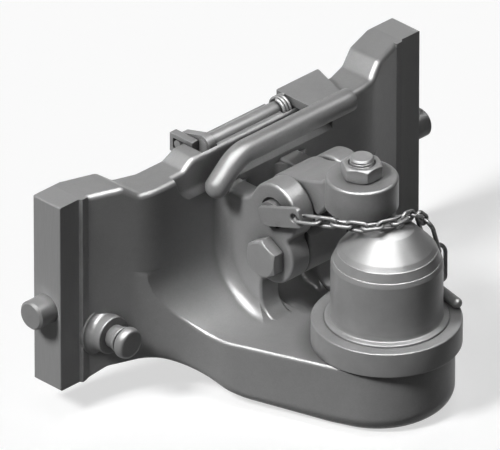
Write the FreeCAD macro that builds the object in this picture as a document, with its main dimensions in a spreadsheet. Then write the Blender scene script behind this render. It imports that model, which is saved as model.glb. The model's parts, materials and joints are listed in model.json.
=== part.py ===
import FreeCAD, Part
import math
import os
import re

import Sketcher

Vector = FreeCAD.Vector
Rotation = FreeCAD.Rotation
Placement = FreeCAD.Placement

# A slide-in tow hitch: a casting held by two rails, a tow pin on its nose and a hold-down arm above it.
# X runs to the right, forward (towards the tow pin) is -Y and Z is up. The origin lies midway between the
# rails, on their back plane and at their lower edge. Lengths are in millimetres, angles in degrees.
SIZES = {
    # rails and back plate of the casting
    "half_width": 164.5,
    "rail_thick": 24.5,
    "rail_top": 135.8,
    "rail_inner": 140.8,
    "rail_face": 147.4,
    "rail_step": 2.0,
    "web_back": 17.5,
    "web_front": 42.0,
    "web_half": 89.0,
    "web_front_half": 99.2,
    "web_bottom": 7.0,
    "saddle_top": 127.8,
    "crown_top": 133.0,
    "crown_half": 55.0,
    "saddle_half": 105.2,
    "plate_round": 4.0,
    # neck and nose of the casting
    "neck_half": 129.0,
    "shoulder_half": 82.6,
    "shoulder_round": 58.0,
    "waist_half": 76.2,
    "waist_forward": 86.0,
    "nose_radius": 48.7,
    "nose_forward": 150.9,
    "deck_height": 25.3,
    "scoop_radius": 43.4,
    "belly_height": -20.5,
    "belly_forward": 150.0,
    "keel_height": -15.5,
    "keel_forward": 90.0,
    "belly_round": 14.0,
    "belly_root_round": 3.0,
    "deck_round": 2.5,
    # ears
    "ear_inner": 17.7,
    "ear_thick": 17.0,
    "lock_forward": 88.5,
    "lock_height": 106.0,
    "lock_lobe": 20.5,
    "pivot_forward": 85.5,
    "pivot_height": 73.5,
    "pivot_lobe": 20.0,
    "ear_web_top": 106.5,
    "ear_web_front": 77.0,
    "ear_foot_round": 14.0,
    "ear_valley_round": 11.0,
    "ear_waist_round": 4.0,
    "ear_web_round": 5.0,
    "ear_fillet": 8.5,
    "ear_inner_fillet": 6.5,
    "ear_edge_round": 2.2,
    # finger pocket behind the handle
    "pocket_left": -77.0,
    "pocket_right": 66.0,
    "pocket_bottom": 108.4,
    "pocket_round": 26.0,
    "pocket_back": 35.8,
    "pocket_rim_round": 3.5,
    # running gaps
    "bolt_gap": 0.1,
    "pin_gap": 0.1,
    "side_gap": 0.3,
    "press_gap": 0.02,
    # tow pin and wear ring
    "tow_forward": 157.0,
    "tow_radius": 36.4,
    "tow_straight_top": 83.7,
    "tow_top": 112.0,
    "tow_flat_radius": 10.8,
    "collar_radius": 40.5,
    "collar_top": 44.0,
    "ring_radius": 49.1,
    "ring_top": 42.8,
    "ring_chamfer": 1.0,
    "shank_radius": 24.0,
    "retainer_radius": 32.0,
    "retainer_thick": 7.0,
    "retainer_screw_circle": 14.0,
    "retainer_screw_radius": 4.0,
    "retainer_screw_length": 24.0,
    "retainer_head_radius": 6.5,
    "retainer_head_thick": 4.0,
    # side bolts and their cam plate
    "bolt_radius": 10.0,
    "bolt_forward": 12.1,
    "bolt_height": 57.0,
    "bolt_reach": 15.0,
    "bolt_chamfer": 1.5,
    "bolt_inner_end": 22.0,
    "bolt_stroke": 15.5,
    "tongue_length": 36.0,
    "follower_radius": 4.0,
    "follower_place": 30.0,
    "cam_back": 5.0,
    "cam_thick": 6.8,
    "cam_half": 40.0,
    "cam_bottom": 27.0,
    "cam_top": 118.0,
    "cam_stroke": 10.3,
    "cam_slot_gap": 0.25,
    "cam_lug_thick": 6.0,
    "cam_lug_right": -38.5,
    "strap_thick": 4.0,
    "strap_tall": 12.0,
    "strap_foot": 18.0,
    "strap_upper_height": 80.0,
    "strap_lower_height": 31.0,
    "guide_screw_radius": 4.0,
    "guide_head_radius": 7.5,
    "guide_head_thick": 5.5,
    "guide_screw_depth": 10.0,
    "guide_screw_place": 54.0,
    # handle
    "shaft_radius": 5.5,
    "shaft_forward": 26.0,
    "shaft_height": 131.6,
    "shaft_left": -38.0,
    "shaft_right": 60.0,
    "crank_reach": 16.0,
    "crank_dip": 10.0,
    "crank_thick": 6.0,
    "crank_hub_radius": 7.5,
    "crank_recess_floor": 108.0,
    "crank_tip_radius": 6.0,
    "crank_pin_radius": 3.0,
    "crank_slot_gap": 0.7,
    "lever_left": 38.5,
    "lever_right": 77.3,
    "lever_bottom": 133.3,
    "lever_thick": 6.0,
    "lever_hub_radius": 7.5,
    "lever_hub_length": 20.0,
    "lever_cut_angle": 19.0,
    "handle_radius": 7.8,
    "handle_forward": 51.0,
    "handle_height": 132.0,
    "handle_right": 72.6,
    "handle_bend_start": -21.0,
    "handle_bend_radius": 25.0,
    "handle_bend_angle": 41.0,
    "handle_tail": 15.0,
    "handle_lift": 45.0,
    "spring_wire": 1.1,
    "spring_radius": 7.2,
    "spring_left": 29.0,
    "spring_turns": 3.0,
    "spring_pitch": 2.6,
    # hold-down arm
    "arm_half": 17.4,
    "arm_hub_radius": 19.0,
    "boss_radius": 23.8,
    "boss_forward": 134.0,
    "boss_top": 138.2,
    "boss_bottom": 117.0,
    "arm_back_top": 124.0,
    "arm_front_top": 132.6,
    "arm_edge_round": 2.5,
    "boss_edge_round": 2.0,
    "hook_slot_half": 9.4,
    "arm_under": 98.0,
    "arm_lift": 38.0,
    # fasteners
    "pivot_bolt_radius": 8.0,
    "pivot_head_radius": 14.0,
    "pivot_head_thick": 9.5,
    "pivot_nut_thick": 13.0,
    "washer_thick": 3.0,
    "washer_radius": 15.0,
    "lock_pin_radius": 9.0,
    "lock_pin_tail": 15.0,
    "lock_pin_proud": 3.5,
    "lock_recess_radius": 10.9,
    "lock_recess_depth": 3.0,
    "tab_thick": 4.0,
    "tab_tall": 14.0,
    "tab_length": 33.0,
    "tab_tilt": 20.0,
    "tab_hole_radius": 3.2,
    "hold_screw_radius": 8.0,
    "hold_screw_top": 152.5,
    "hold_nut_radius": 14.0,
    "hold_nut_thick": 10.0,
    "pad_radius": 9.5,
    "pad_thick": 4.0,
    "pad_bottom": 112.4,
    # holder stud
    "stud_place": -130.0,
    "stud_height": 33.0,
    "stud_boss_radius": 13.0,
    "stud_boss_front": 38.0,
    "stud_boss_round": 4.5,
    "stud_radius": 7.8,
    "stud_head_radius": 10.7,
    "stud_head_back": 47.0,
    "stud_front": 55.0,
    "stud_chamfer": 1.5,
    "stud_foot": 28.0,
    "stud_root": 24.0,
    "stud_root_radius": 6.0,
    # chain, ring and lynch pin
    "link_wire": 1.25,
    "link_length": 15.6,
    "link_width": 8.3,
    "link_slack": 0.3,
    "first_link_length": 21.0,
    "first_link_width": 12.0,
    "link_count": 10.0,
    "ring_wire": 1.5,
    "ring_width": 16.0,
    "lynch_radius": 3.5,
    "lynch_length": 38.0,
    "lynch_head": 5.0,
    "lynch_turn": 12.0,
    "bail_wire": 1.4,
    "bail_width": 20.0,
    "bail_height": 31.0,
    "bail_offset": 2.0,
}

doc = FreeCAD.newDocument("tow_hitch")
sheet = doc.addObject("Spreadsheet::Sheet", "Size")
for row, (word, number) in enumerate(SIZES.items(), start=1):
    sheet.set("A%d" % row, word)
    sheet.set("B%d" % row, str(number))
    sheet.setAlias("B%d" % row, word)
doc.recompute()

subparts = []


def size(word):
    return float(sheet.get(word))


def bound(text):
    """Turns the plain names in an expression into references to the sheet's cells."""
    return re.sub(r"[a-z]+(_[a-z]+)*", lambda m: "Size." + m[0] if m[0] in SIZES else m[0], text)


def at(x, forward, z):
    return Vector(x, -forward, z)


def name_part(feature, label):
    feature.Label = label
    subparts.append(feature)
    return feature


def place(feature, x="0", forward="0", z="0", rotation=None):
    """Sets a feature's turn, then binds its position to the sheet."""
    feature.Placement = Placement(Vector(0, 0, 0), rotation or Rotation())
    feature.setExpression("Placement.Base.x", bound(x))
    feature.setExpression("Placement.Base.y", bound("-(%s)" % forward))
    feature.setExpression("Placement.Base.z", bound(z))
    return feature


ALONG_X = Rotation(Vector(0, 1, 0), 90)
TO_LEFT = Rotation(Vector(0, 1, 0), -90)
TO_FRONT = Rotation(Vector(1, 0, 0), 90)
TO_BACK = Rotation(Vector(1, 0, 0), -90)


def primitive(kind, name, values, **where):
    feature = doc.addObject("Part::" + kind, name)
    for prop, text in values.items():
        if prop == "Polygon":
            feature.Polygon = text
        else:
            feature.setExpression(prop, bound(text))
    return place(feature, **where)


def cylinder(name, radius, height, **where):
    return primitive("Cylinder", name, {"Radius": radius, "Height": height}, **where)


def box(name, length, width, height, **where):
    """A box from its left front lower corner."""
    return primitive("Box", name, {"Length": length, "Width": width, "Height": height}, **where)


def hexagon(name, radius, height, **where):
    """A hexagon head or nut whose outer corners are turned off at thirty degrees."""
    values = {"Polygon": 6, "Circumradius": radius, "Height": height}
    prism = primitive("Prism", name + "_prism", values, **where)
    crown = turned(name + "_crown", [
        ("0", "0"),
        (radius, "0"),
        (radius, "%s - 0.1 * %s" % (height, radius)),
        ("0.83 * %s" % radius, height),
        ("0", height),
    ], **where)
    common = doc.addObject("Part::MultiCommon", name)
    common.Shapes = [prism, crown]
    return common


def joined(name, features):
    fuse = doc.addObject("Part::MultiFuse", name)
    fuse.Shapes = features
    return fuse


def cut(name, base, tool):
    feature = doc.addObject("Part::Cut", name)
    feature.Base = base
    feature.Tool = tool
    return feature


def group(name, features):
    compound = doc.addObject("Part::Compound", name)
    compound.Links = features
    return compound


def turned(name, corners, **where):
    """A body turned about its own Z from a closed outline of (radius, height) expressions."""
    body = doc.addObject("PartDesign::Body", name)
    sketch = body.newObject("Sketcher::SketchObject", name + "_outline")
    plane = [p for p in body.Origin.OriginFeatures if p.Role == "XZ_Plane"][0]
    sketch.AttachmentSupport = [(plane, "")]
    sketch.MapMode = "FlatFace"
    values = [[float(sheet.evalExpression(bound(text))) for text in corner] for corner in corners]
    for i, (radius, height) in enumerate(values):
        after = values[(i + 1) % len(values)]
        sketch.addGeometry(Part.LineSegment(Vector(radius, height, 0), Vector(*after, 0)))
    for i, corner in enumerate(corners):
        sketch.addConstraint(Sketcher.Constraint("Coincident", i, 2, (i + 1) % len(corners), 1))
    for i, corner in enumerate(corners):
        for kind, axis, text, value in zip(("DistanceX", "DistanceY"), (-2, -1), corner, values[i]):
            if text == "0":
                sketch.addConstraint(Sketcher.Constraint("PointOnObject", i, 1, axis))
            else:
                row = sketch.addConstraint(Sketcher.Constraint(kind, -1, 1, i, 1, value))
                sketch.setExpression("Constraints[%d]" % row, bound(text))
    turn = body.newObject("PartDesign::Revolution", name + "_turn")
    turn.Profile = sketch
    turn.ReferenceAxis = (sketch, ["V_Axis"])
    turn.Angle = 360
    return place(body, **where)


def solid(name, shape):
    feature = doc.addObject("Part::Feature", name)
    feature.Shape = shape
    return feature


def rounded(corners, to_point):
    """A face whose outline runs through (a, b, radius) corners, each rounded by a tangent arc."""
    starts, ends, middles = [], [], []
    for i, (a, b, radius) in enumerate(corners):
        here = Vector(a, b, 0)
        before = Vector(*corners[i - 1][:2], 0) - here
        after = Vector(*corners[(i + 1) % len(corners)][:2], 0) - here
        before.normalize()
        after.normalize()
        half = before.getAngle(after) / 2
        run = radius / math.tan(half)
        starts.append(here + before * run)
        ends.append(here + after * run)
        way = before + after
        if radius:
            way.normalize()
        middles.append(here + way * (radius / math.sin(half) - radius))
    edges = []
    for i, corner in enumerate(corners):
        first, middle, last = (to_point(p.x, p.y) for p in (starts[i], middles[i], ends[i]))
        following = to_point(*starts[(i + 1) % len(corners)][:2])
        if corner[2]:
            edges.append(Part.Arc(first, middle, last).toShape())
        if (following - last).Length > 1e-6:
            edges.append(Part.LineSegment(last, following).toShape())
    return Part.Face(Part.Wire(edges))


def both_sides(half):
    """Mirrors a half outline, given from its centre line outwards and back, to the left."""
    return [(-a, b, radius) for a, b, radius in reversed(half)] + half


def rod(radius, start, end):
    way = end - start
    return Part.makeCylinder(radius, way.Length, start, way)


def tube(radius, edges):
    """A round wire swept along a path of tangent edges."""
    path = Part.Wire(edges)
    start = edges[0].valueAt(edges[0].FirstParameter)
    way = edges[0].tangentAt(edges[0].FirstParameter)
    section = Part.Wire(Part.makeCircle(radius, start, way))
    return path.makePipeShell([section], True, False)


def wire_outline(radius, edge):
    """A wire's outline where an edge starts, with eight flats, so that its many bends stay light."""
    start, way = edge.valueAt(edge.FirstParameter), edge.tangentAt(edge.FirstParameter)
    axes = (Vector(1, 0, 0), Vector(0, 1, 0), Vector(0, 0, 1))
    across = way.cross(min(axes, key=lambda axis: abs(axis.dot(way)))).normalize() * radius
    corners = [start + Rotation(way, 45 * i + 22.5).multVec(across) for i in range(8)]
    return Part.makePolygon(corners + corners[:1])


def bent_wire(radius, edges):
    """A thin wire swept along a path of tangent edges."""
    return Part.Wire(edges).makePipeShell([wire_outline(radius, edges[0])], True, False, 2)


def smooth(edges):
    """One smooth curve through a run of tangent edges, so that a fillet can follow it."""
    curve = Part.BSplineCurve()
    curve.interpolate(Part.Wire(edges).discretize(40))
    return curve.toShape()


def spread(edge):
    """The edge's box as (left, right, back, front, bottom, top)."""
    reach = edge.BoundBox
    return reach.XMin, reach.XMax, -reach.YMax, -reach.YMin, reach.ZMin, reach.ZMax


def edge_at(shape, forward, z):
    """The edge along X that runs nearest to a spot of the side view."""
    def miss(edge):
        spot = edge.CenterOfMass
        left, right, back, front, bottom, top = spread(edge)
        return math.hypot(-spot.y - forward, spot.z - z) + front - back + top - bottom
    return min(shape.Edges, key=miss)


def back_plate():
    """The rails and the web between them: a plan outline cut to the front view's outline."""
    step = size("rail_thick") + size("rail_step")
    plan = both_sides([
        (size("web_half"), size("web_back"), 6),
        (size("rail_inner"), 0, 4),
        (size("half_width"), 0, 0.8),
        (size("half_width"), size("rail_thick"), 0.8),
        (size("rail_face"), size("rail_thick"), 0),
        (size("rail_face") - 1.4, step, 0),
        (size("rail_inner"), step, 3),
        (size("web_front_half"), size("web_front"), 62),
    ])
    saddle, crown, top = size("saddle_top"), size("crown_top"), size("rail_top")
    view = both_sides([
        (size("crown_half"), crown, 8),
        (size("crown_half") + 10, saddle, 8),
        (size("saddle_half"), saddle, 6),
        (size("saddle_half") + 11, top, 6),
        (size("half_width"), top, 1.5),
        (size("half_width"), 0, 1.5),
        (size("rail_face") - 2.4, 0, 10),
        (size("neck_half"), size("web_bottom"), 10),
    ])
    tall = rounded(plan, lambda x, f: at(x, f, -5)).extrude(Vector(0, 0, top + 10))
    deep = rounded(view, lambda x, z: at(x, -5, z)).extrude(Vector(0, -size("web_front") - 10, 0))
    whole = tall.common(deep)
    between = block(-size("rail_inner"), size("rail_inner"), -10, size("web_front") + 10, -10, top + 10)
    web = whole.common(between).cut(hand_pocket())
    rims = []
    for edge in web.Edges:
        left, right, back, front, bottom, _ = spread(edge)
        if bottom > saddle - 5 and back > step - 1 and front - back < 20 and right - left > 0.3:
            rims.append(edge)
    return whole.cut(between).fuse(web.makeFillet(size("plate_round"), rims))


def neck():
    """The shelf that carries the tow pin: its plan outline cut to its side outline."""
    waist, start = size("waist_half"), size("waist_forward")
    ahead = size("nose_forward") - start
    lean = math.atan2(ahead, waist) + math.asin(size("nose_radius") / math.hypot(waist, ahead))
    tip = size("nose_forward") + size("nose_radius")
    step, across = size("rail_thick") + size("rail_step"), size("rail_inner") - size("web_front_half")
    fall = (size("web_front") - step) / across
    root, shoulder = (size("rail_thick") + size("rail_step") + (size("rail_inner") - x) * fall
                      for x in (size("neck_half"), size("shoulder_half")))
    back = size("web_back") + 4
    outline = rounded(both_sides([
        (size("nose_radius") * math.tan(lean / 2), tip, size("nose_radius")),
        (waist, start, 40),
        (size("shoulder_half"), shoulder, size("shoulder_round")),
        (size("neck_half"), root, 0),
        (size("neck_half"), back, 0),
    ]), lambda x, f: at(x, f, size("belly_height") - 10)).OuterWire.OrderedEdges
    flanks = [smooth(outline[1:7]), smooth(outline[7:13])]
    tall = Part.Face(Part.Wire(Part.__sortEdges__(flanks + outline[:1] + outline[13:])))
    deck, scoop, belly = size("deck_height"), size("scoop_radius"), size("belly_height")
    front = size("web_front")
    side = rounded([
        (back, deck + scoop + front - back, 0),
        (front, deck + scoop, 0),
        (front, deck, scoop),
        (tip + 10, deck, 0),
        (tip + 10, belly, 0),
        (size("belly_forward"), belly, 80),
        (size("keel_forward"), size("keel_height"), 60),
        (front, size("web_bottom") - 2, 30),
        (back, size("web_bottom"), 0),
    ], lambda f, z: at(-size("half_width"), f, z)).OuterWire.OrderedEdges
    wide = Part.Face(Part.Wire(Part.__sortEdges__([smooth(side[4:11])] + side[:4] + side[11:])))
    shape = tall.extrude(Vector(0, 0, 2 * tip)).common(wide.extrude(Vector(2 * size("half_width"), 0, 0)))
    half = shape.common(block(0, size("half_width"), 0, 2 * tip, 2 * belly, 2 * tip))
    long_edges = [edge for edge in half.Edges if edge.Length > size("nose_radius") and spread(edge)[1] > 1]
    lowest = min(long_edges, key=lambda edge: edge.CenterOfMass.z - spread(edge)[3])
    half = half.makeFillet(size("belly_root_round"), size("belly_round"), [lowest])
    rims = [edge for edge in half.Edges if edge.Length > size("nose_radius") and spread(edge)[4] > deck - 1
            and spread(edge)[5] < deck + scoop + 1 and spread(edge)[0] < spread(edge)[1] - 1
            and spread(edge)[3] > spread(edge)[2] + 1]
    half = half.makeFillet(size("deck_round"), rims)
    return half.fuse(half.mirror(Vector(0, 0, 0), Vector(1, 0, 0))).removeSplitter()


def ear(inner):
    """One ear in side view, a lobe round each pin and a web down to the shelf, with all its edges rounded."""
    thick, deck, top = size("ear_thick"), size("deck_height"), size("ear_web_top")
    back, front = size("web_front") - 6, size("ear_web_front")
    shape = rounded([
        (back, deck - 4, 0),
        (back, top, 0),
        (size("lock_forward"), top, 0),
        (front, size("pivot_height"), 0),
        (front, deck, size("ear_foot_round")),
        (front + 22, deck, 0),
        (front + 22, deck - 4, 0),
    ], lambda f, z: at(inner, f, z)).extrude(Vector(thick, 0, 0))
    lock, pivot = (Vector(size(pin + "_forward"), size(pin + "_height"), 0) for pin in ("lock", "pivot"))
    lock_lobe, pivot_lobe = size("lock_lobe"), size("pivot_lobe")
    for centre, lobe in ((lock, lock_lobe), (pivot, pivot_lobe)):
        shape = shape.fuse(Part.makeCylinder(lobe, thick, at(inner, centre.x, centre.y), Vector(1, 0, 0)))
    shape = shape.removeSplitter()
    apart = lock - pivot
    along = (apart.Length ** 2 + pivot_lobe ** 2 - lock_lobe ** 2) / (2 * apart.Length)
    aside = math.sqrt(pivot_lobe ** 2 - along ** 2)
    apart.normalize()
    waist = pivot + apart * along + Vector(apart.y, -apart.x, 0) * aside
    hollows = [
        (lock.x - math.sqrt(lock_lobe ** 2 - (top - lock.y) ** 2), top, size("ear_valley_round")),
        (waist.x, waist.y, size("ear_waist_round")),
        (front, pivot.y - math.sqrt(pivot_lobe ** 2 - (pivot.x - front) ** 2), size("ear_web_round")),
    ]
    for forward, z, radius in hollows:
        shape = shape.makeFillet(radius, [edge_at(shape, forward, z)])
    rims = [edge for edge in shape.Edges
            if spread(edge)[1] - spread(edge)[0] < 0.1 and spread(edge)[3] > back + 1
            and spread(edge)[5] > deck]
    return shape.makeFillet(size("ear_edge_round"), rims)


def ear_corner(face, sign, radius):
    """The hollow fillet between an ear's side and the plate, the scoop and the shelf."""
    deck, scoop = size("deck_height"), size("scoop_radius")
    front, edge = size("web_front"), size("ear_edge_round")
    top, foot, tip = size("ear_web_top") - edge, size("ear_web_front") - edge, size("ear_web_front") + 20
    out = Vector(sign * (radius + 1), 0, 0)
    strip = rounded([
        (front - 1, deck - 1, 0),
        (front - 1, top, 0),
        (foot, top, 0),
        (foot, deck, size("ear_foot_round")),
        (tip, deck, 0),
        (tip, deck - 1, 0),
    ], lambda f, z: at(face, f, z)).extrude(Vector(sign * radius, 0, 0))
    open_space = rounded([
        (front + radius, top + 1, 0),
        (front + radius, deck + radius, scoop - radius),
        (tip + 1, deck + radius, 0),
        (tip + 1, top + 1, 0),
    ], lambda f, z: at(face - sign * 0.5, f, z)).extrude(out)

    def spot(f, z):
        return at(face + sign * radius, f, z)

    turn = scoop - radius
    middle = spot(front + radius + turn * (1 - math.sqrt(0.5)), deck + radius + turn * (1 - math.sqrt(0.5)))
    ball = tube(radius + 0.02, [
        Part.LineSegment(spot(front + radius, top + 20), spot(front + radius, deck + scoop)).toShape(),
        Part.Arc(spot(front + radius, deck + scoop), middle, spot(front + scoop, deck + radius)).toShape(),
        Part.LineSegment(spot(front + scoop, deck + radius), spot(tip + 20, deck + radius)).toShape(),
    ])
    return strip.cut([open_space, ball])


def hand_pocket():
    """The finger pocket behind the handle: a rounded front outline with a back wall that leans."""
    bottom, top = size("pocket_bottom"), size("crown_top") + 10
    rim = size("pocket_rim_round")
    view = rounded([
        (size("pocket_left"), top, 0),
        (size("pocket_left"), bottom - rim, size("pocket_round")),
        (size("pocket_right"), bottom - rim, 3),
        (size("pocket_right"), top, 0),
    ], lambda x, z: at(x, 30, z)).extrude(Vector(0, -20, 0))
    lean = rounded([
        (size("pocket_back"), top, 0),
        (size("pocket_back") + 0.5, size("crown_top") - 3, 20),
        (size("web_front") - 3, bottom + 6, 9),
        (size("web_front") + 0.1, bottom + 0.5, rim),
        (size("web_front") + 0.1, bottom - 2 * rim, 0),
        (size("web_front") + 8, bottom - 2 * rim, 0),
        (size("web_front") + 8, top, 0),
    ], lambda f, z: at(-100, f, z)).extrude(Vector(200, 0, 0))
    return view.common(lean)


def block(left, right, back, front, bottom, top):
    return Part.makeBox(right - left, front - back, top - bottom, at(left, front, bottom))


def handle_recesses():
    """The open groove for the handle shaft, the crank's recess and the notch for lever and spring."""
    forward, height = size("shaft_forward"), size("shaft_height")
    reach, top = size("shaft_radius") + size("pin_gap"), size("crown_top") + 10
    left, right = size("cam_lug_right") - size("cam_lug_thick") - 1, size("lever_right") + 4
    groove = Part.makeCylinder(reach, right - left, at(left, forward, height), Vector(1, 0, 0))
    groove = groove.fuse(block(left, right, forward - reach, forward + reach, height, top))
    hub = size("crank_hub_radius") + 0.5
    crank_end = size("shaft_left") + size("crank_thick") + 1
    crank = block(left, crank_end, -5, forward + hub, size("crank_recess_floor"), top)
    lever = size("lever_hub_radius") + 1
    notch = block(size("spring_left") - 1, right, 5, forward + lever, height - lever, top)
    return groove.fuse([crank, notch])


def stud_boss():
    """The round boss under the holder stud, with a hollow fillet at its foot."""
    radius, front, flare = size("stud_boss_radius"), size("stud_boss_front"), size("stud_boss_round")
    foot = size("stud_foot")
    corners = [
        (0, foot - 8, 0),
        (radius + flare, foot - 8, 0),
        (radius + flare, foot, 0),
        (radius, foot, flare - 0.01),
        (radius, front, 1),
        (0, front, 0),
    ]
    x, z = size("stud_place"), size("stud_height")
    face = rounded(corners, lambda r, f: at(x + r, f, z))
    return face.revolve(at(x, 0, z), Vector(0, 1, 0), 360)


def casting():
    """The one-piece casting: plate, neck and ears, then its bores, grooves and recesses."""
    inside, outside = size("ear_inner"), size("ear_inner") + size("ear_thick")
    pieces = [neck(), stud_boss(), ear(inside), ear(-outside)]
    for sign in (1, -1):
        pieces.append(ear_corner(sign * outside, sign, size("ear_fillet")))
        pieces.append(ear_corner(sign * inside, -sign, size("ear_inner_fillet")))
    body = back_plate()
    for piece in pieces:
        body = body.fuse(piece)
    body = body.removeSplitter()
    right = Vector(1, 0, 0)
    wide = 2 * size("half_width") + 2
    ear_face = size("ear_inner") + size("ear_thick")
    bore = size("bolt_radius") + size("bolt_gap")
    tools = [
        Part.makeCylinder(bore, wide, at(-wide / 2, size("bolt_forward"), size("bolt_height")), right),
        handle_recesses(),
    ]
    for forward, height, radius in (("pivot_forward", "pivot_height", "pivot_bolt_radius"),
                                    ("lock_forward", "lock_height", "lock_pin_radius")):
        start = at(-ear_face - 1, size(forward), size(height))
        tools.append(Part.makeCylinder(size(radius) + size("pin_gap"), 2 * ear_face + 2, start, right))
    depth = size("lock_recess_depth")
    for x in (-ear_face - 1, ear_face - depth):
        start = at(x, size("lock_forward"), size("lock_height"))
        tools.append(Part.makeCylinder(size("lock_recess_radius"), depth + 1, start, right))
    below, up = at(0, size("tow_forward"), size("belly_height") - 10), Vector(0, 0, 1)
    tools.append(Part.makeCylinder(size("shank_radius") + size("press_gap"), 80, below, up))
    seat = size("retainer_radius") + size("side_gap")
    tools.append(Part.makeCylinder(seat, size("retainer_thick") + 10, below, up))
    for x in (-size("guide_screw_place"), size("guide_screw_place")):
        for height in ("strap_upper_height", "strap_lower_height"):
            start = at(x, size("web_back") - 1, size(height) + size("strap_tall") / 2)
            depth = size("guide_screw_depth") + 1
            tools.append(Part.makeCylinder(size("guide_screw_radius") + size("press_gap"), depth, start,
                                           Vector(0, -1, 0)))
    start = at(size("stud_place"), size("stud_root"), size("stud_height"))
    tools.append(Part.makeCylinder(size("stud_root_radius") + size("press_gap"), 40, start,
                                   Vector(0, -1, 0)))
    for tool in tools:
        body = body.cut(tool)
    return body


def tow_pin():
    """The spigot: a collar and straight wall under a domed, flat-topped crown, with a shank below."""
    return turned("tow_pin_turning", [
        ("0", "belly_height + retainer_thick"),
        ("shank_radius", "belly_height + retainer_thick"),
        ("shank_radius", "deck_height"),
        ("collar_radius", "deck_height"),
        ("collar_radius", "collar_top"),
        ("tow_radius", "collar_top + 1.5"),
        ("tow_radius", "tow_straight_top"),
        ("tow_radius - 1.3", "tow_straight_top + 3.1"),
        ("tow_radius - 3.9", "tow_straight_top + 9.4"),
        ("tow_radius - 6.6", "tow_straight_top + 12.7"),
        ("tow_flat_radius + 6.8", "tow_top - 3"),
        ("tow_flat_radius", "tow_top"),
        ("0", "tow_top"),
    ], forward="tow_forward")


def wear_ring():
    return turned("wear_ring", [
        ("collar_radius + press_gap", "deck_height"),
        ("ring_radius - ring_chamfer", "deck_height"),
        ("ring_radius", "deck_height + ring_chamfer"),
        ("ring_radius", "ring_top - ring_chamfer"),
        ("ring_radius - ring_chamfer", "ring_top"),
        ("collar_radius + press_gap", "ring_top"),
    ], forward="tow_forward")


def retainer_screw(name, radius, head_radius, turn):
    """One cap screw under the tow pin, at a turn round the pin's axis."""
    x = "retainer_screw_circle * cos(%d)" % turn
    forward = "tow_forward + retainer_screw_circle * sin(%d)" % turn
    shank = cylinder(name + "_shank", radius, "retainer_screw_length - retainer_head_thick",
                     x=x, forward=forward, z="belly_height + retainer_head_thick")
    head = cylinder(name + "_head", head_radius, "retainer_head_thick",
                    x=x, forward=forward, z="belly_height")
    return joined(name, [shank, head])


def side_bolt(side, sign):
    """A round bolt with a chamfered outer end and a half-round tongue at its inner end."""
    length = "half_width + bolt_reach - bolt_inner_end"
    rotation = ALONG_X if sign > 0 else TO_LEFT
    round_bar = turned("bar_" + side, [
        ("0", "0"),
        ("bolt_radius", "0"),
        ("bolt_radius", length + " - bolt_chamfer"),
        ("bolt_radius - bolt_chamfer", length),
        ("0", length),
    ], x="%d * bolt_inner_end" % sign, forward="bolt_forward", z="bolt_height", rotation=rotation)
    x = "bolt_inner_end - 1" if sign > 0 else "-bolt_inner_end - tongue_length"
    half = box("half_" + side, "tongue_length + 1", "30", "30", x=x,
               forward="cam_back + cam_thick + side_gap", z="bolt_height - 15")
    hole = cylinder("follower_hole_" + side, "follower_radius + press_gap", "30",
                    x="%d * follower_place" % sign, forward="cam_back", z="bolt_height",
                    rotation=TO_FRONT)
    name = "bolt_" + side
    return cut(name, cut(name + "_tongue", round_bar, half), hole)


def slot_tool(sign):
    """The slanted slot that draws a side bolt inwards as the cam plate goes down."""
    radius, deep = size("follower_radius") + size("cam_slot_gap"), size("cam_thick") + 2
    start = at(sign * size("follower_place"), size("cam_back") - 1, size("bolt_height"))
    run = Vector(-sign * size("bolt_stroke"), 0, size("cam_stroke"))
    side = Vector(run.z, 0, -run.x).normalize() * radius
    front = Vector(0, -deep, 0)
    ends = [Part.makeCylinder(radius, deep, p, front) for p in (start, start + run)]
    corners = [start + side, start + run + side, start + run - side, start - side, start + side]
    return Part.Face(Part.makePolygon(corners)).extrude(front).fuse(ends)


def cam_plate():
    """The plate behind the web, with two slanted slots and a lug that the crank pin drives."""
    back, front = size("cam_back"), size("cam_back") + size("cam_thick")
    half, bottom, top = size("cam_half"), size("cam_bottom"), size("cam_top")
    lug_left = size("cam_lug_right") - size("cam_lug_thick")
    plate = rounded([(-half, bottom, 4), (half, bottom, 4), (half, top - 12, 8), (half - 40, top - 12, 12),
                     (lug_left + 14, top, 6), (lug_left, top, 0), (lug_left, top - 12, 0),
                     (-half, top - 12, 0)],
                    lambda x, z: at(x, back, z)).extrude(Vector(0, back - front, 0))
    for sign in (1, -1):
        plate = plate.cut(slot_tool(sign))
    dip = math.radians(size("crank_dip"))
    pin_height = size("shaft_height") - size("crank_reach") * math.sin(dip)
    pin_forward = size("shaft_forward") - size("crank_reach") * math.cos(dip)
    opened = math.radians(size("crank_dip") + size("handle_lift"))
    far = size("shaft_forward") - size("crank_reach") * math.cos(opened)
    reach = size("crank_pin_radius") + size("crank_slot_gap")
    right, thick = size("cam_lug_right"), size("cam_lug_thick")
    lug = block(right - thick, right, back - 1.5, far + reach + 3.5, pin_height - reach - 3,
                pin_height + reach + 3)
    stem = block(right - thick, right, back, front, top - 10, pin_height)
    slot = block(right - thick - 1, right + 1, pin_forward - reach, far + reach,
                 pin_height - reach, pin_height + reach)
    return plate.fuse([lug, stem]).cut(slot).removeSplitter()


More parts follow.
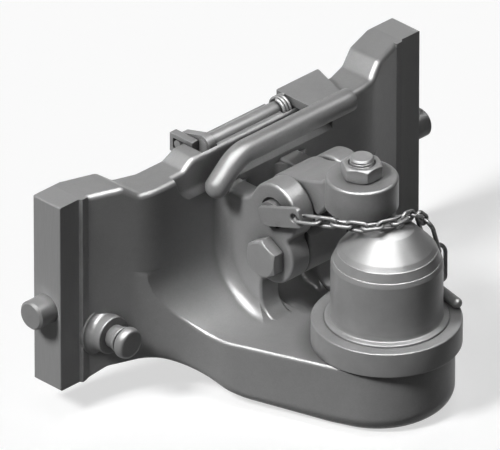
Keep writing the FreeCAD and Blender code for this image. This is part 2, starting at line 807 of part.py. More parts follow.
def guide_strap(name, height):
    """A bridge strap that keeps the cam plate against the web: a bar with a channel and two feet."""
    half = "cam_half + side_gap + strap_thick + strap_foot"
    outer = box(name + "_bar", "2 * (%s)" % half, "web_back - cam_back + strap_thick + side_gap",
                "strap_tall", x="-(%s)" % half, forward="web_back", z=height)
    inner = box(name + "_channel", "2 * (cam_half + side_gap)", "30", "strap_tall + 2",
                x="-cam_half - side_gap", forward="cam_back - side_gap + 30", z=height + " - 1")
    left = box(name + "_left", "strap_foot + 1", "30", "strap_tall + 2",
               x="-(%s) - 1" % half, forward="web_back - strap_thick", z=height + " - 1")
    right = box(name + "_right", "strap_foot + 1", "30", "strap_tall + 2",
                x="cam_half + side_gap + strap_thick", forward="web_back - strap_thick", z=height + " - 1")
    holes = [cylinder("%s_hole_%d" % (name, side + 1), "guide_screw_radius + side_gap", "40",
                      x="%d * guide_screw_place" % side, forward="-5", z=height + " + strap_tall / 2",
                      rotation=TO_FRONT) for side in (-1, 1)]
    return cut(name, outer, joined(name + "_cuts", [inner, left, right] + holes))


def guide_screw(name, side, height):
    z = height + " + strap_tall / 2"
    x = "%d * guide_screw_place" % side
    head = hexagon(name + "_head", "guide_head_radius", "guide_head_thick", x=x,
                   forward="web_back - strap_thick", z=z, rotation=TO_BACK)
    shank = cylinder(name + "_shank", "guide_screw_radius", "guide_screw_depth + strap_thick", x=x,
                     forward="web_back - strap_thick", z=z, rotation=TO_FRONT)
    return joined(name, [head, shank])


def crank_arm():
    """The arm on the shaft's left end, with a hub, a tapering web and an eye for the crank pin."""
    left, thick = size("shaft_left"), size("crank_thick")
    axis = at(left, size("shaft_forward"), size("shaft_height"))
    dip = math.radians(size("crank_dip"))
    tip = axis - at(0, size("crank_reach") * math.cos(dip), size("crank_reach") * math.sin(dip))
    right = Vector(1, 0, 0)
    hub, eye = size("crank_hub_radius"), size("crank_tip_radius")
    way = (tip - axis).normalize()
    side = way.cross(right)
    corners = [axis + side * hub, tip + side * eye, tip - side * eye, axis - side * hub, axis + side * hub]
    arm = Part.Face(Part.makePolygon(corners)).extrude(right * thick)
    arm = arm.fuse([Part.makeCylinder(hub, thick, axis, right), Part.makeCylinder(eye, thick, tip, right)])
    arm = arm.cut(Part.makeCylinder(size("shaft_radius") + size("press_gap"), thick + 2, axis - right, right))
    return arm.cut(Part.makeCylinder(size("crank_pin_radius") + size("press_gap"), thick + 2, tip - right,
                                     right)).removeSplitter()


def crank_pin():
    dip = math.radians(size("crank_dip"))
    reach = size("crank_reach")
    left = size("cam_lug_right") - size("cam_lug_thick")
    start = at(left, size("shaft_forward") - reach * math.cos(dip),
               size("shaft_height") - reach * math.sin(dip))
    length = size("shaft_left") + size("crank_thick") - left
    return Part.makeCylinder(size("crank_pin_radius"), length, start, Vector(1, 0, 0))


def lever_plate():
    """The flat lever with a hub on the shaft, hollowed along its front edge to take the handle."""
    bottom, thick = size("lever_bottom"), size("lever_thick")
    back, front = size("web_back"), size("handle_forward")
    slant = (front - back) * math.tan(math.radians(size("lever_cut_angle")))
    outline = rounded([
        (size("lever_left"), back, 1),
        (size("lever_right"), back, 1),
        (size("lever_right") - slant, front, 0),
        (size("lever_left"), front, 0),
    ], lambda x, f: at(x, f, bottom)).extrude(Vector(0, 0, thick))
    right = Vector(1, 0, 0)
    axis = at(size("lever_left"), size("shaft_forward"), size("shaft_height"))
    hub = Part.makeCylinder(size("lever_hub_radius"), size("lever_hub_length"), axis, right)
    web = block(size("lever_left"), size("lever_left") + size("lever_hub_length"),
                size("shaft_forward") - 4, size("shaft_forward") + 4, size("shaft_height"), bottom + 1)
    bore = Part.makeCylinder(size("shaft_radius") + size("press_gap"), 100, axis - right * 10, right)
    handle = Part.makeCylinder(size("handle_radius") + size("press_gap"), 200,
                               at(-50, size("handle_forward"), size("handle_height")), right)
    return outline.fuse([hub, web]).cut([bore, handle]).removeSplitter()


def handle_bar():
    """The round grip bar, straight to the right and bent down at the left, with a domed end."""
    radius, bend = size("handle_radius"), size("handle_bend_radius")
    angle = math.radians(size("handle_bend_angle"))
    forward, height = size("handle_forward"), size("handle_height")
    right_end = at(size("handle_right"), forward, height)
    start = at(size("handle_bend_start"), forward, height)
    half, full = ([size("handle_bend_start") - bend * math.sin(turn), height - bend * (1 - math.cos(turn))]
                  for turn in (angle / 2, angle))
    middle, corner = at(half[0], forward, half[1]), at(full[0], forward, full[1])
    way = Vector(-math.cos(angle), 0, -math.sin(angle))
    end = corner + way * size("handle_tail")
    bar = tube(radius, [Part.LineSegment(right_end, start).toShape(),
                        Part.Arc(start, middle, corner).toShape(),
                        Part.LineSegment(corner, end).toShape()])
    return bar.fuse(Part.makeSphere(radius, end)).removeSplitter()


def handle_spring():
    """The torsion spring round the shaft, beside the lever's hub."""
    helix = Part.makeHelix(size("spring_pitch"), size("spring_turns") * size("spring_pitch"),
                           size("spring_radius"))
    section = wire_outline(size("spring_wire"), helix.Edges[0])
    coil = Part.Wire(helix.Edges).makePipeShell([section], True, True)
    coil.Placement = Placement(at(size("spring_left") + size("spring_wire"), size("shaft_forward"),
                                  size("shaft_height")), ALONG_X)
    return coil


def hold_down_arm():
    """The swinging arm: a hub, an open hook round the lock pin and a boss for the hold-down screw."""
    half, boss = size("arm_half"), size("boss_radius")
    pivot_f, pivot_z, hub = size("pivot_forward"), size("pivot_height"), size("arm_hub_radius")
    lock_f, lock_z = size("lock_forward"), size("lock_height")
    boss_f, bottom, top = size("boss_forward"), size("boss_bottom"), size("boss_top")
    heel = boss_f - math.sqrt(boss ** 2 - half ** 2)
    bar = rounded([
        (pivot_f - hub, pivot_z - hub, hub - 2),
        (pivot_f + hub, pivot_z - hub, hub - 2),
        (pivot_f + hub, size("arm_under"), 7),
        (heel + 3, bottom, 7),
        (boss_f, bottom, 0),
        (boss_f, top, 0),
        (heel + 3, top, 4),
        (heel - 4, size("arm_front_top"), 6),
        (lock_f - 2, size("arm_back_top"), 25),
        (pivot_f - hub, size("arm_back_top"), hub - 3),
    ], lambda f, z: at(-half, f, z)).extrude(Vector(2 * half, 0, 0))
    rims = [edge for edge in bar.Edges
            if spread(edge)[1] - spread(edge)[0] < 0.1 and spread(edge)[3] < boss_f - 0.1]
    bar = bar.makeFillet(size("arm_edge_round"), rims)
    up, right = Vector(0, 0, 1), Vector(1, 0, 0)
    tower = Part.makeCylinder(boss, top - bottom, at(0, boss_f, bottom), up)
    rims = [edge for edge in tower.Edges
            if spread(edge)[1] - spread(edge)[0] > boss and spread(edge)[4] > top - 1]
    tower = tower.makeFillet(size("boss_edge_round"), rims)
    arm = bar.fuse(tower)
    pivot = at(-half - 1, pivot_f, pivot_z)
    long = 2 * half + 2
    radius = size("hook_slot_half")
    reach = math.hypot(lock_f - pivot_f, lock_z - pivot_z)
    closed = math.atan2(lock_z - pivot_z, lock_f - pivot_f)
    opened = closed - math.radians(size("arm_lift") + 12)
    ring = Part.makeCylinder(reach + radius, long, pivot, right)
    ring = ring.cut(Part.makeCylinder(reach - radius, long, pivot, right))
    fan = [pivot]
    for turn in (closed, (closed + opened) / 2, opened):
        fan.append(pivot + at(0, 3 * reach * math.cos(turn), 3 * reach * math.sin(turn)))
    slot = ring.common(Part.Face(Part.makePolygon(fan + fan[:1])).extrude(right * long))
    slot = slot.fuse(Part.makeCylinder(radius, long, at(-half - 1, lock_f, lock_z), right))
    pin = Part.makeCylinder(size("pivot_bolt_radius") + size("pin_gap"), long, pivot, right)
    screw = Part.makeCylinder(size("hold_screw_radius") + size("pin_gap"), 60, at(0, boss_f, bottom - 10), up)
    for tool in (slot, pin, screw):
        arm = arm.cut(tool)
    return arm.removeSplitter()


def pivot_bolt():
    """The hexagon bolt that the arm swings on, headed on the left ear."""
    face = "ear_inner + ear_thick"
    head = hexagon("pivot_head", "pivot_head_radius", "pivot_head_thick", x="-(%s)" % face,
                   forward="pivot_forward", z="pivot_height", rotation=TO_LEFT)
    shank = cylinder("pivot_shank", "pivot_bolt_radius",
                     "2 * (%s) + washer_thick + pivot_nut_thick + 3" % face, x="-(%s)" % face,
                     forward="pivot_forward", z="pivot_height", rotation=ALONG_X)
    return joined("pivot_bolt", [head, shank])


def pierced(name, base, radius, **where):
    hole = cylinder(name + "_hole", radius, "100", **where)
    return cut(name, base, hole)


def lock_pin():
    """The cross pin through both ears, with a hole near its right end for the lynch pin."""
    right = Vector(1, 0, 0)
    face = size("ear_inner") + size("ear_thick")
    start = at(-face - size("lock_pin_proud"), size("lock_forward"), size("lock_height"))
    length = 2 * face + size("lock_pin_proud") + size("lock_pin_tail")
    pin = Part.makeCylinder(size("lock_pin_radius"), length, start, right)
    end = start + right * (length - size("lock_pin_tail") / 2 + 1)
    hole = Part.makeCylinder(size("lynch_radius") + 0.4, 40, end - Vector(0, 0, 20), Vector(0, 0, 1))
    return pin.cut(hole)


def lock_pin_tab():
    """The flat tab welded to the lock pin's left end, with a hole for the chain."""
    tilt = math.radians(size("tab_tilt"))
    way, up = at(0, math.cos(tilt), math.sin(tilt)), at(0, -math.sin(tilt), math.cos(tilt))
    face = size("ear_inner") + size("ear_thick") + size("lock_pin_proud")
    axis = at(-face, size("lock_forward"), size("lock_height"))
    tall, length = size("tab_tall"), size("tab_length")

    def spot(a, b):
        return axis + way * a + up * b

    shape = rounded([(-6, -tall / 2, 3), (length, -tall / 2, 3), (length, tall / 2, 3), (-6, tall / 2, 3)],
                    spot).extrude(Vector(-size("tab_thick"), 0, 0))
    hole = Part.makeCylinder(size("tab_hole_radius"), 20, spot(length - 5.5, 0) + Vector(10, 0, 0),
                             Vector(-1, 0, 0))
    return shape.cut(hole)


def loop(centre, along, across, length, width, wire):
    """A closed link: two straight sides and two half-round ends."""
    along, across = Vector(*along).normalize(), Vector(*across).normalize()
    half_width = width / 2 - wire
    half_run = length / 2 - wire - half_width

    def spot(a, b):
        return centre + along * a + across * b

    edges = [
        Part.LineSegment(spot(-half_run, half_width), spot(half_run, half_width)).toShape(),
        Part.Arc(spot(half_run, half_width), spot(half_run + half_width, 0),
                 spot(half_run, -half_width)).toShape(),
        Part.LineSegment(spot(half_run, -half_width), spot(-half_run, -half_width)).toShape(),
        Part.Arc(spot(-half_run, -half_width), spot(-half_run - half_width, 0),
                 spot(-half_run, half_width)).toShape(),
    ]
    return bent_wire(wire, edges)


# The chain's route from the tab, over the tow pin's crown and down its right side, as (x, forward, z).
CHAIN_ROUTE = [
    (-40.5, 116.5, 115.6),
    (-35.6, 134.5, 118.5),
    (-20.0, 161.0, 118.0),
    (-2.0, 166.5, 117.2),
    (10.5, 165.0, 116.8),
    (23.0, 161.0, 111.0),
    (34.5, 159.0, 100.0),
    (42.0, 157.0, 88.0),
]


def chain_points():
    """Where neighbouring links meet, walked at the chain's pitch along its route."""
    route = [at(*p) for p in CHAIN_ROUTE]
    pitch = size("link_length") - 4 * size("link_wire") - size("link_slack")
    spots, here, leg, left = [route[0]], route[0], 0, pitch
    left += size("first_link_length") - size("link_length")
    while len(spots) < size("link_count") + 1:
        target = route[min(leg + 1, len(route) - 1)]
        if leg + 2 < len(route) and (target - here).Length < left:
            left -= (target - here).Length
            here, leg = target, leg + 1
            continue
        here = here + (route[leg + 1] - route[leg]).normalize() * left
        spots.append(here)
        left = pitch
    return spots


def safety_chain():
    """The chain, its links by turns flat and upright."""
    spots = chain_points()
    links = []
    for i in range(len(spots) - 1):
        first, last = spots[i], spots[i + 1]
        way = (last - first).normalize()
        side = way.cross(Vector(0, 0, 1)).normalize()
        if i % 2:
            side = side.cross(way)
        kind = "link" if i else "first_link"
        links.append(loop((first + last) / 2, way, side, size(kind + "_length"), size(kind + "_width"),
                          size("link_wire")))
    return Part.makeCompound(links)


def lynch_frame():
    """The lynch pin's head, the way it lies and the way across it, on top of the wear ring."""
    turn = math.radians(size("lynch_turn"))
    z = size("ring_top") + size("lynch_radius")
    head = at(size("collar_radius") + size("lynch_radius") + 2.2, size("tow_forward") - 5, z)
    return head, at(-math.sin(turn), math.cos(turn), 0), at(math.cos(turn), math.sin(turn), 0)


def lynch_pin():
    """The lynch pin, with a rounded point and a cross hole for its bail near the head."""
    head, way, across = lynch_frame()
    radius, length = size("lynch_radius"), size("lynch_length")
    start = head - way * size("lynch_head")
    pin = rod(radius, start, start + way * (length - radius))
    pin = pin.fuse(Part.makeSphere(radius, start + way * (length - radius)))
    hole = rod(size("bail_wire") + size("side_gap"), head - across * 20, head + across * 20)
    return pin.cut(hole).removeSplitter()


def lynch_bail():
    """The bail through the lynch pin's cross hole, standing up to the chain's ring."""
    head, way, across = lynch_frame()
    up, wire = Vector(0, 0, 1), size("bail_wire")
    half, top, shift = size("bail_width") / 2 - wire, size("bail_height") - 2 * wire, size("bail_offset")
    outline = rounded([(shift - half, 0, 2.5), (shift + half, 0, 2.5), (shift + half, top, half - 0.1),
                       (shift - half, top, half - 0.1)], lambda a, b: head + across * a + up * b)
    return bent_wire(wire, outline.OuterWire.OrderedEdges)


def chain_ring():
    """The ring between the chain's last link and the bail."""
    spots = chain_points()
    head, way, across = lynch_frame()
    wire = size("ring_wire")
    gap = wire + size("bail_wire") + size("side_gap")
    low = head + across * 1.0 + Vector(0, 0, size("bail_height") - 2 * size("bail_wire") - gap - 1.2)
    last = (spots[-1] - spots[-2]).normalize()
    high = spots[-1] - last * 1.6
    along = (high - low).normalize()
    length = (high - low).Length + 2 * wire
    return loop((high + low) / 2, along, Vector(0, 1, 0).cross(along).cross(along), length,
                size("ring_width"), wire)


name_part(solid("casting", casting()), "hitch_body")
retainer_turns = (45, 135, 225, 315)
screw_holes = joined("retainer_holes", [retainer_screw("hole_%d" % i, "retainer_screw_radius + side_gap",
                                                       "retainer_head_radius + side_gap", turn)
                                        for i, turn in enumerate(retainer_turns)])
retainer_disc = cylinder("retainer_disc", "retainer_radius", "retainer_thick", forward="tow_forward",
                         z="belly_height")
name_part(cut("tow_pin", tow_pin(), screw_holes), "tow_pin")
name_part(wear_ring(), "wear_ring")
name_part(cut("retainer", retainer_disc, screw_holes), "tow_pin_retainer")
name_part(group("retainer_screws", [retainer_screw("screw_%d" % i, "retainer_screw_radius",
                                                   "retainer_head_radius", turn)
                                    for i, turn in enumerate(retainer_turns)]), "retainer_screws")
for side, sign in (("left", -1), ("right", 1)):
    name_part(side_bolt(side, sign), "side_bolt_" + side)
    follower = cylinder("follower_" + side, "follower_radius", "bolt_forward + 4 - cam_back",
                        x="%d * follower_place" % sign, forward="cam_back", z="bolt_height",
                        rotation=TO_FRONT)
    name_part(follower, "follower_pin_" + side)
name_part(solid("cam", cam_plate()), "cam_plate")
for level in ("upper", "lower"):
    name_part(guide_strap("strap_" + level, "strap_%s_height" % level), "guide_strap_" + level)
name_part(group("guide_screws", [guide_screw("guide_%s_%d" % (level, side + 1), side,
                                             "strap_%s_height" % level)
                                 for level in ("upper", "lower") for side in (-1, 1)]), "guide_screws")
name_part(cylinder("shaft", "shaft_radius", "shaft_right - shaft_left", x="shaft_left",
                   forward="shaft_forward", z="shaft_height", rotation=ALONG_X), "handle_shaft")
name_part(solid("crank", crank_arm()), "crank_arm")
name_part(solid("crank_pin", crank_pin()), "crank_pin")
name_part(solid("lever", lever_plate()), "lever_plate")
name_part(solid("handle", handle_bar()), "handle_bar")
name_part(solid("spring", handle_spring()), "handle_spring")
name_part(solid("arm", hold_down_arm()), "hold_down_arm")
name_part(pivot_bolt(), "pivot_bolt")
ear_outside = "ear_inner + ear_thick"
on_pivot = {"forward": "pivot_forward", "z": "pivot_height", "rotation": ALONG_X}
washer_disc = cylinder("washer_disc", "washer_radius", "washer_thick", x=ear_outside, **on_pivot)
name_part(pierced("washer", washer_disc, "pivot_bolt_radius + press_gap", x="ear_inner", **on_pivot),
          "pivot_washer")
nut_block = hexagon("pivot_nut_block", "pivot_head_radius", "pivot_nut_thick",
                    x=ear_outside + " + washer_thick", **on_pivot)
name_part(pierced("pivot_nut", nut_block, "pivot_bolt_radius + press_gap", x="ear_inner", **on_pivot),
          "pivot_nut")
name_part(cylinder("hold_screw", "hold_screw_radius", "hold_screw_top - pad_bottom - pad_thick",
                   forward="boss_forward", z="pad_bottom + pad_thick"), "hold_down_screw")
hold_block = hexagon("hold_nut_block", "hold_nut_radius", "hold_nut_thick", forward="boss_forward",
                     z="boss_top")
name_part(pierced("hold_nut", hold_block, "hold_screw_radius + press_gap", forward="boss_forward",
                  z="boss_bottom"), "hold_down_nut")
name_part(cylinder("pad", "pad_radius", "pad_thick", forward="boss_forward", z="pad_bottom"),
          "hold_down_pad")
name_part(solid("lock_pin", lock_pin()), "lock_pin")
name_part(solid("tab", lock_pin_tab()), "lock_pin_tab")
name_part(solid("chain", safety_chain()), "safety_chain")
name_part(solid("ring", chain_ring()), "chain_ring")
name_part(solid("lynch", lynch_pin()), "lynch_pin")
name_part(solid("bail", lynch_bail()), "lynch_bail")
name_part(turned("stud", [
    ("0", "stud_root"),
    ("stud_root_radius", "stud_root"),
    ("stud_root_radius", "stud_boss_front"),
    ("stud_radius", "stud_boss_front"),
    ("stud_radius", "stud_head_back - 3"),
    ("stud_radius + 0.8", "stud_head_back - 2.6"),
    ("stud_radius + 0.8", "stud_head_back - 0.6"),
    ("stud_radius - 0.6", "stud_head_back - 0.6"),
    ("stud_radius - 0.6", "stud_head_back"),
    ("stud_head_radius", "stud_head_back"),
    ("stud_head_radius", "stud_front - stud_chamfer"),
    ("stud_head_radius - stud_chamfer", "stud_front"),
    ("0", "stud_front"),
], x="stud_place", z="stud_height", rotation=TO_FRONT), "holder_stud")

doc.recompute()
faulty = [f.Name for f in doc.Objects if "Invalid" in f.State or "Error" in f.State]
if faulty:
    raise RuntimeError("features that failed: " + ", ".join(faulty))
for part in subparts:
    if part.Shape.isNull() or not part.Shape.isValid():
        raise RuntimeError(part.Label + " has no valid shape")
os.makedirs("parts", exist_ok=True)
for part in subparts:
    part.Shape.exportStep("parts/%s.step" % part.Label)
    print(part.Label, len(part.Shape.Solids), round(part.Shape.Volume / 1000, 2))
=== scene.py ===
import json
import math

import bpy
import numpy as np
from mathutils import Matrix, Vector


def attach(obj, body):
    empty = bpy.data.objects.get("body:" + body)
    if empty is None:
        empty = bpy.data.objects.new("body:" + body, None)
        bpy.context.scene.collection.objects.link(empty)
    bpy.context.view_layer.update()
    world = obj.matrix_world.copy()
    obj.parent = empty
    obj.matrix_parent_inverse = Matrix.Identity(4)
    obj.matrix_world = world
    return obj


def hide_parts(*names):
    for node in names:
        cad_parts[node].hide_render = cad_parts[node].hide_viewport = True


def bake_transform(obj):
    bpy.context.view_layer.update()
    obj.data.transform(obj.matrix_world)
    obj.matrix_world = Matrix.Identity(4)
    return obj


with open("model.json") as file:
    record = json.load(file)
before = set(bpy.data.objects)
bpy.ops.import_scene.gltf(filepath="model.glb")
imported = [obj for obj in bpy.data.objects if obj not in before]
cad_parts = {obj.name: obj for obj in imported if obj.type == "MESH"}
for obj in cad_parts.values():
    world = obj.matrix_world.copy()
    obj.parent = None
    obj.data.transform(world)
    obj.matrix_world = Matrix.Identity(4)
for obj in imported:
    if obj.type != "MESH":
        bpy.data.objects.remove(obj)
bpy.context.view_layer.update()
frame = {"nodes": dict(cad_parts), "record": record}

record = frame["record"]
pi = math.pi


def mm(*values):                                   # millimetres of the part to metres of the scene
    return Vector(values) / 1000


class Wire:
    # One output socket. Arithmetic on wires adds Math nodes behind it.
    def __init__(self, nodes, socket):
        self.nodes = nodes
        self.socket = socket

    def maths(self, operation, *others):
        return self.nodes.add("Math", {"operation": operation}, dict(enumerate((self, *others))))

    def __add__(self, other):
        return self.maths("ADD", other)

    def __radd__(self, other):
        return self.maths("ADD", other)

    def __sub__(self, other):
        return self.maths("SUBTRACT", other)

    def __rsub__(self, other):
        return self.nodes.add("Math", {"operation": "SUBTRACT"}, {0: other, 1: self})

    def __mul__(self, other):
        return self.maths("MULTIPLY", other)

    def __rmul__(self, other):
        return self.maths("MULTIPLY", other)

    def __gt__(self, other):
        return self.maths("GREATER_THAN", other)

    def size(self):
        return self.maths("ABSOLUTE")

    def ramp(self, low, high, start=0.0, end=1.0):
        # straight line from start at low to end at high, held flat outside
        return self.nodes.add("MapRange", {"clamp": True}, {0: self, 1: low, 2: high, 3: start, 4: end})


class Nodes:
    # A node tree that starts empty. Each node comes from add: its type, its settings, and the values or wires
    # of its sockets.
    def __init__(self, tree):
        self.tree = tree
        tree.nodes.clear()

    def add(self, kind, settings=None, sockets=None, out=0):
        node = self.tree.nodes.new("ShaderNode" + kind)
        for setting, value in (settings or {}).items():
            setattr(node, setting, value)
        for socket, value in (sockets or {}).items():
            self.join(value, node.inputs[socket])
        return Wire(self, node.outputs[out]) if len(node.outputs) else None

    def join(self, value, socket):
        if isinstance(value, Wire):
            self.tree.links.new(value.socket, socket)
        else:
            socket.default_value = value

    def blend(self, share, first, second):         # colour from first to second as share goes 0 to 1
        return self.add("Mix", {"data_type": "RGBA", "clamp_factor": True},
                        {"Factor": share, 6: first, 7: second}, out=2)

    def seen(self):
        # 1 for what the camera, mirrors and glass see, 0 for the light that surfaces throw on each other
        rays = self.add("LightPath", out="Is Camera Ray")
        for kind in ("Is Glossy Ray", "Is Transmission Ray"):
            rays = rays.maths("MAXIMUM", self.add("LightPath", out=kind))
        return rays


class Finish(Nodes):
    # One material: a principled shader with its fixed values, and what varies over the surface.
    def __init__(self, name, fixed):
        self.material = bpy.data.materials.new(name)
        self.material.use_nodes = True
        super().__init__(self.material.node_tree)
        surface = self.add("BsdfPrincipled", {}, fixed)
        self.shader = surface.socket.node
        self.add("OutputMaterial", {}, {"Surface": surface})

    def feed(self, varying):
        for socket, wire in varying.items():
            self.join(wire, self.shader.inputs[socket])

    def place(self):                               # the surface point in the part's own metres
        return self.add("TexCoord", out="Object")

    def axes(self):
        split = self.add("SeparateXYZ", {}, {0: self.place()})
        return [Wire(self, axis) for axis in split.socket.node.outputs]

    def noise(self, perMetre, detail, roughness, stretch=None):
        place = self.place()
        if stretch:
            place = self.add("Mapping", {}, {"Vector": place, "Scale": stretch})
        return self.add("TexNoise", {}, {"Vector": place, "Scale": perMetre, "Detail": detail,
                                         "Roughness": roughness})

    def bump(self, height, strength, distance, under=None):
        sockets = {"Height": height, "Strength": strength, "Distance": distance}
        if under is not None:
            sockets["Normal"] = under
        return self.add("Bump", {}, sockets)

    def edges(self, radius, samples=4):
        # near 0 on a flat, rising where a rounded normal leaves the true one, at outer and inner edges
        rounded = self.add("Bevel", {"samples": samples}, {"Radius": radius})
        plain = self.add("NewGeometry", out="Normal")
        likeness = self.add("VectorMath", {"operation": "DOT_PRODUCT"}, {0: rounded, 1: plain}, out=1)
        return 1 - likeness

    def corners(self, reach, samples=6):
        # 1 in the open, falling towards 0 where other surfaces stand close around the point; the finishes
        # paint shade into the colour with it
        return self.add("AmbientOcclusion", {"samples": samples}, {"Distance": reach}, out="AO")


def grey(level):
    return (level, level, level, 1.0)


# finishes: one colour of grey all over, as in the drawing, with the marks of how each piece was made and
# painted shade darkening the corners; a noise is (grains per metre, detail, roughness), a range is a ramp's
# start and end, a bump is (strength, metres)
castLook = {
    "deep": 0.240, "pale": 0.285, "rubbed": 0.42, "cornerShadeGrey": 0.07,           # greys; the last is the painted shade in corners and creases
    "clouds": (14.0, 3.0, 0.5), "lumps": (210.0, 3.0, 0.5), "grain": (950.0, 2.0, 0.6),
    "cloudShare": 0.6, "grainShare": 0.25, "lumpShare": 0.15, "toneRange": (0.38, 0.62),
    "edgeRadius": 0.0012, "edgeRange": (0.03, 0.20), "patchRange": (0.42, 0.58, 0.25, 1.0), "rubShare": 0.6,
    "cornerShadeReach": 0.013, "cornerShadeRange": (0.40, 1.0),
    "rough": 0.34, "roughByGrain": 0.14, "roughByClouds": 0.10, "sheen": 0.14,
    "lumpBump": (0.30, 0.00030), "grainBump": (0.40, 0.00010),
}
smoothLook = dict(castLook, lumpBump=(0.30, 0.00012), grainBump=(0.40, 0.00004))
gripLook = dict(smoothLook, sheen=0.08)

milledLook = {
    "inside": 0.1462, "forward": 0.0248, "back": 0.0004,                 # metres: where the milled faces are
    "deep": 0.27645, "pale": 0.29355,
    "marks": (2600.0, 1.0, 0.5, (1.0, 1.0, 0.03)), "marksRange": (0.35, 0.65),
    "rough": 0.34, "roughByMarks": 0.2, "bump": (0.15, 0.00002),
}


def castFinish(name, look, shade=1.0, milling=None):
    # grey paint on a shot-blasted casting: slow clouds, fine pitted grain, rubbed edges, and painted shade
    # that darkens the crevices
    finish = Finish(name, {"Specular IOR Level": look["sheen"]})
    clouds = finish.noise(*look["clouds"])
    grain = finish.noise(*look["grain"])
    lumps = finish.noise(*look["lumps"])
    tone = clouds * look["cloudShare"] + grain * look["grainShare"] + lumps * look["lumpShare"]
    coat = finish.blend(tone.ramp(*look["toneRange"]), grey(look["deep"] * shade), grey(look["pale"] * shade))
    rub = finish.edges(look["edgeRadius"]).ramp(*look["edgeRange"]) * lumps.ramp(*look["patchRange"])
    worn = finish.blend(rub * look["rubShare"], coat, grey(look["rubbed"] * shade))
    # painted shade: ambient occlusion darkens the colour towards the deepest grey where other surfaces stand
    # close
    openness = finish.corners(look["cornerShadeReach"]).ramp(*look["cornerShadeRange"])
    colour = finish.blend(openness, grey(look["cornerShadeGrey"] * shade), worn)
    rough = look["rough"] + look["roughByGrain"] * (grain - 0.5) + look["roughByClouds"] * (clouds - 0.5)
    normal = finish.bump(grain, *look["grainBump"], finish.bump(lumps, *look["lumpBump"]))
    if milling:
        # the rails' outer strips and backs are milled: straight cutter marks up and down, no cast grain
        x, y, z = finish.axes()
        rail = (x.size() > milling["inside"]) * (y > -milling["forward"])
        milled = rail.maths("MAXIMUM", y > -milling["back"])
        marks = finish.noise(*milling["marks"])
        stripes = marks.ramp(*milling["marksRange"])
        bright = finish.blend(stripes, grey(milling["deep"]), grey(milling["pale"]))
        colour = finish.blend(milled, colour, bright)
        rough = rough * (1 - milled) + milled * (milling["rough"] + milling["roughByMarks"] * (marks - 0.5))
        normal = finish.add("Mix", {"data_type": "VECTOR", "clamp_factor": True},
                            {"Factor": milled, 4: normal, 5: finish.bump(marks, *milling["bump"])}, out=1)
    finish.feed({"Base Color": colour, "Roughness": rough, "Normal": normal})
    return finish.material


steelLook = {
    "marks": (1500.0, 2.0, 0.6), "stains": (38.0, 4.0, 0.6),
    "markShare": 0.4, "stainShare": 0.6, "toneRange": (0.36, 0.64),
    "deep": 0.86, "pale": 1.08, "rubbed": 1.4, "cornerShadeGrey": 0.25,              # shares of the piece's grey; the last is the painted shade in corners
    "edgeRadius": 0.0008, "edgeRange": (0.04, 0.22), "rubShare": 0.5,
    "cornerShadeReach": 0.006, "cornerShadeRange": (0.35, 1.0),
    "roughByStains": 0.14, "roughByMarks": 0.1, "bump": (0.18, 0.00005),
}


def steelFinish(name, level, rough, sheen, stretch, look=steelLook):
    # worked steel: fine marks, closer along one axis where stretch says so, slow stains, paler edges, and
    # painted shade that darkens the crevices
    finish = Finish(name, {"Specular IOR Level": sheen})
    marks = finish.noise(*look["marks"], stretch)
    stains = finish.noise(*look["stains"])
    tone = (marks * look["markShare"] + stains * look["stainShare"]).ramp(*look["toneRange"])
    body = finish.blend(tone, grey(level * look["deep"]), grey(level * look["pale"]))
    edge = finish.edges(look["edgeRadius"]).ramp(*look["edgeRange"])
    worn = finish.blend(edge * look["rubShare"], body, grey(level * look["rubbed"]))
    # painted shade: ambient occlusion darkens the colour where other surfaces stand close
    openness = finish.corners(look["cornerShadeReach"]).ramp(*look["cornerShadeRange"])
    finish.feed({
        "Base Color": finish.blend(openness, grey(level * look["cornerShadeGrey"]), worn),
        "Roughness": rough + look["roughByStains"] * (stains - 0.5) + look["roughByMarks"] * (marks - 0.5),
        "Normal": finish.bump(marks, *look["bump"]),
    })
    return finish.material


# how close the marks lie in x, y and z
evenly, ringed, brushed = (1.0, 1.0, 1.0), (1.0, 1.0, 14.0), (1.0, 1.0, 6.0)
finishes = {
    "casting": castFinish("greyCasting", castLook, milling=milledLook),
    "arm_casting": castFinish("greyArmCasting", castLook, 0.98),
    "machined_steel": steelFinish("turnedSteel", 0.28, 0.34, 0.12, ringed),
    "plate_steel": castFinish("greyPlate", smoothLook),
    "handle_steel": castFinish("greyGrip", gripLook, 1.03),
    "fastener_steel": steelFinish("plainFasteners", 0.28, 0.42, 0.11, brushed),
    "spring_steel": steelFinish("springWire", 0.36, 0.34, 0.16, evenly),
    "chain_steel": steelFinish("chainWire", 0.26, 0.36, 0.13, evenly),
}
print("finishes ready:", len(finishes))


# grids: a shape is an array of points, rows along it and columns round it, in millimetres
def unit(direction):                               # the same direction with length 1
    direction = np.asarray(direction, float)
    return direction / np.linalg.norm(direction, axis=-1, keepdims=True)


def squareTo(along, towards=(0, 0, 1)):
    # unit directions: along, the nearest to towards that is square to it, and the one square to both
    along = unit(along)
    if abs(np.dot(along, towards)) > 0.99:         # towards gives no side where it runs along the axis
        towards = (1, 0, 0)
    across = unit(towards - np.dot(towards, along) * along)
    return along, across, np.cross(along, across)


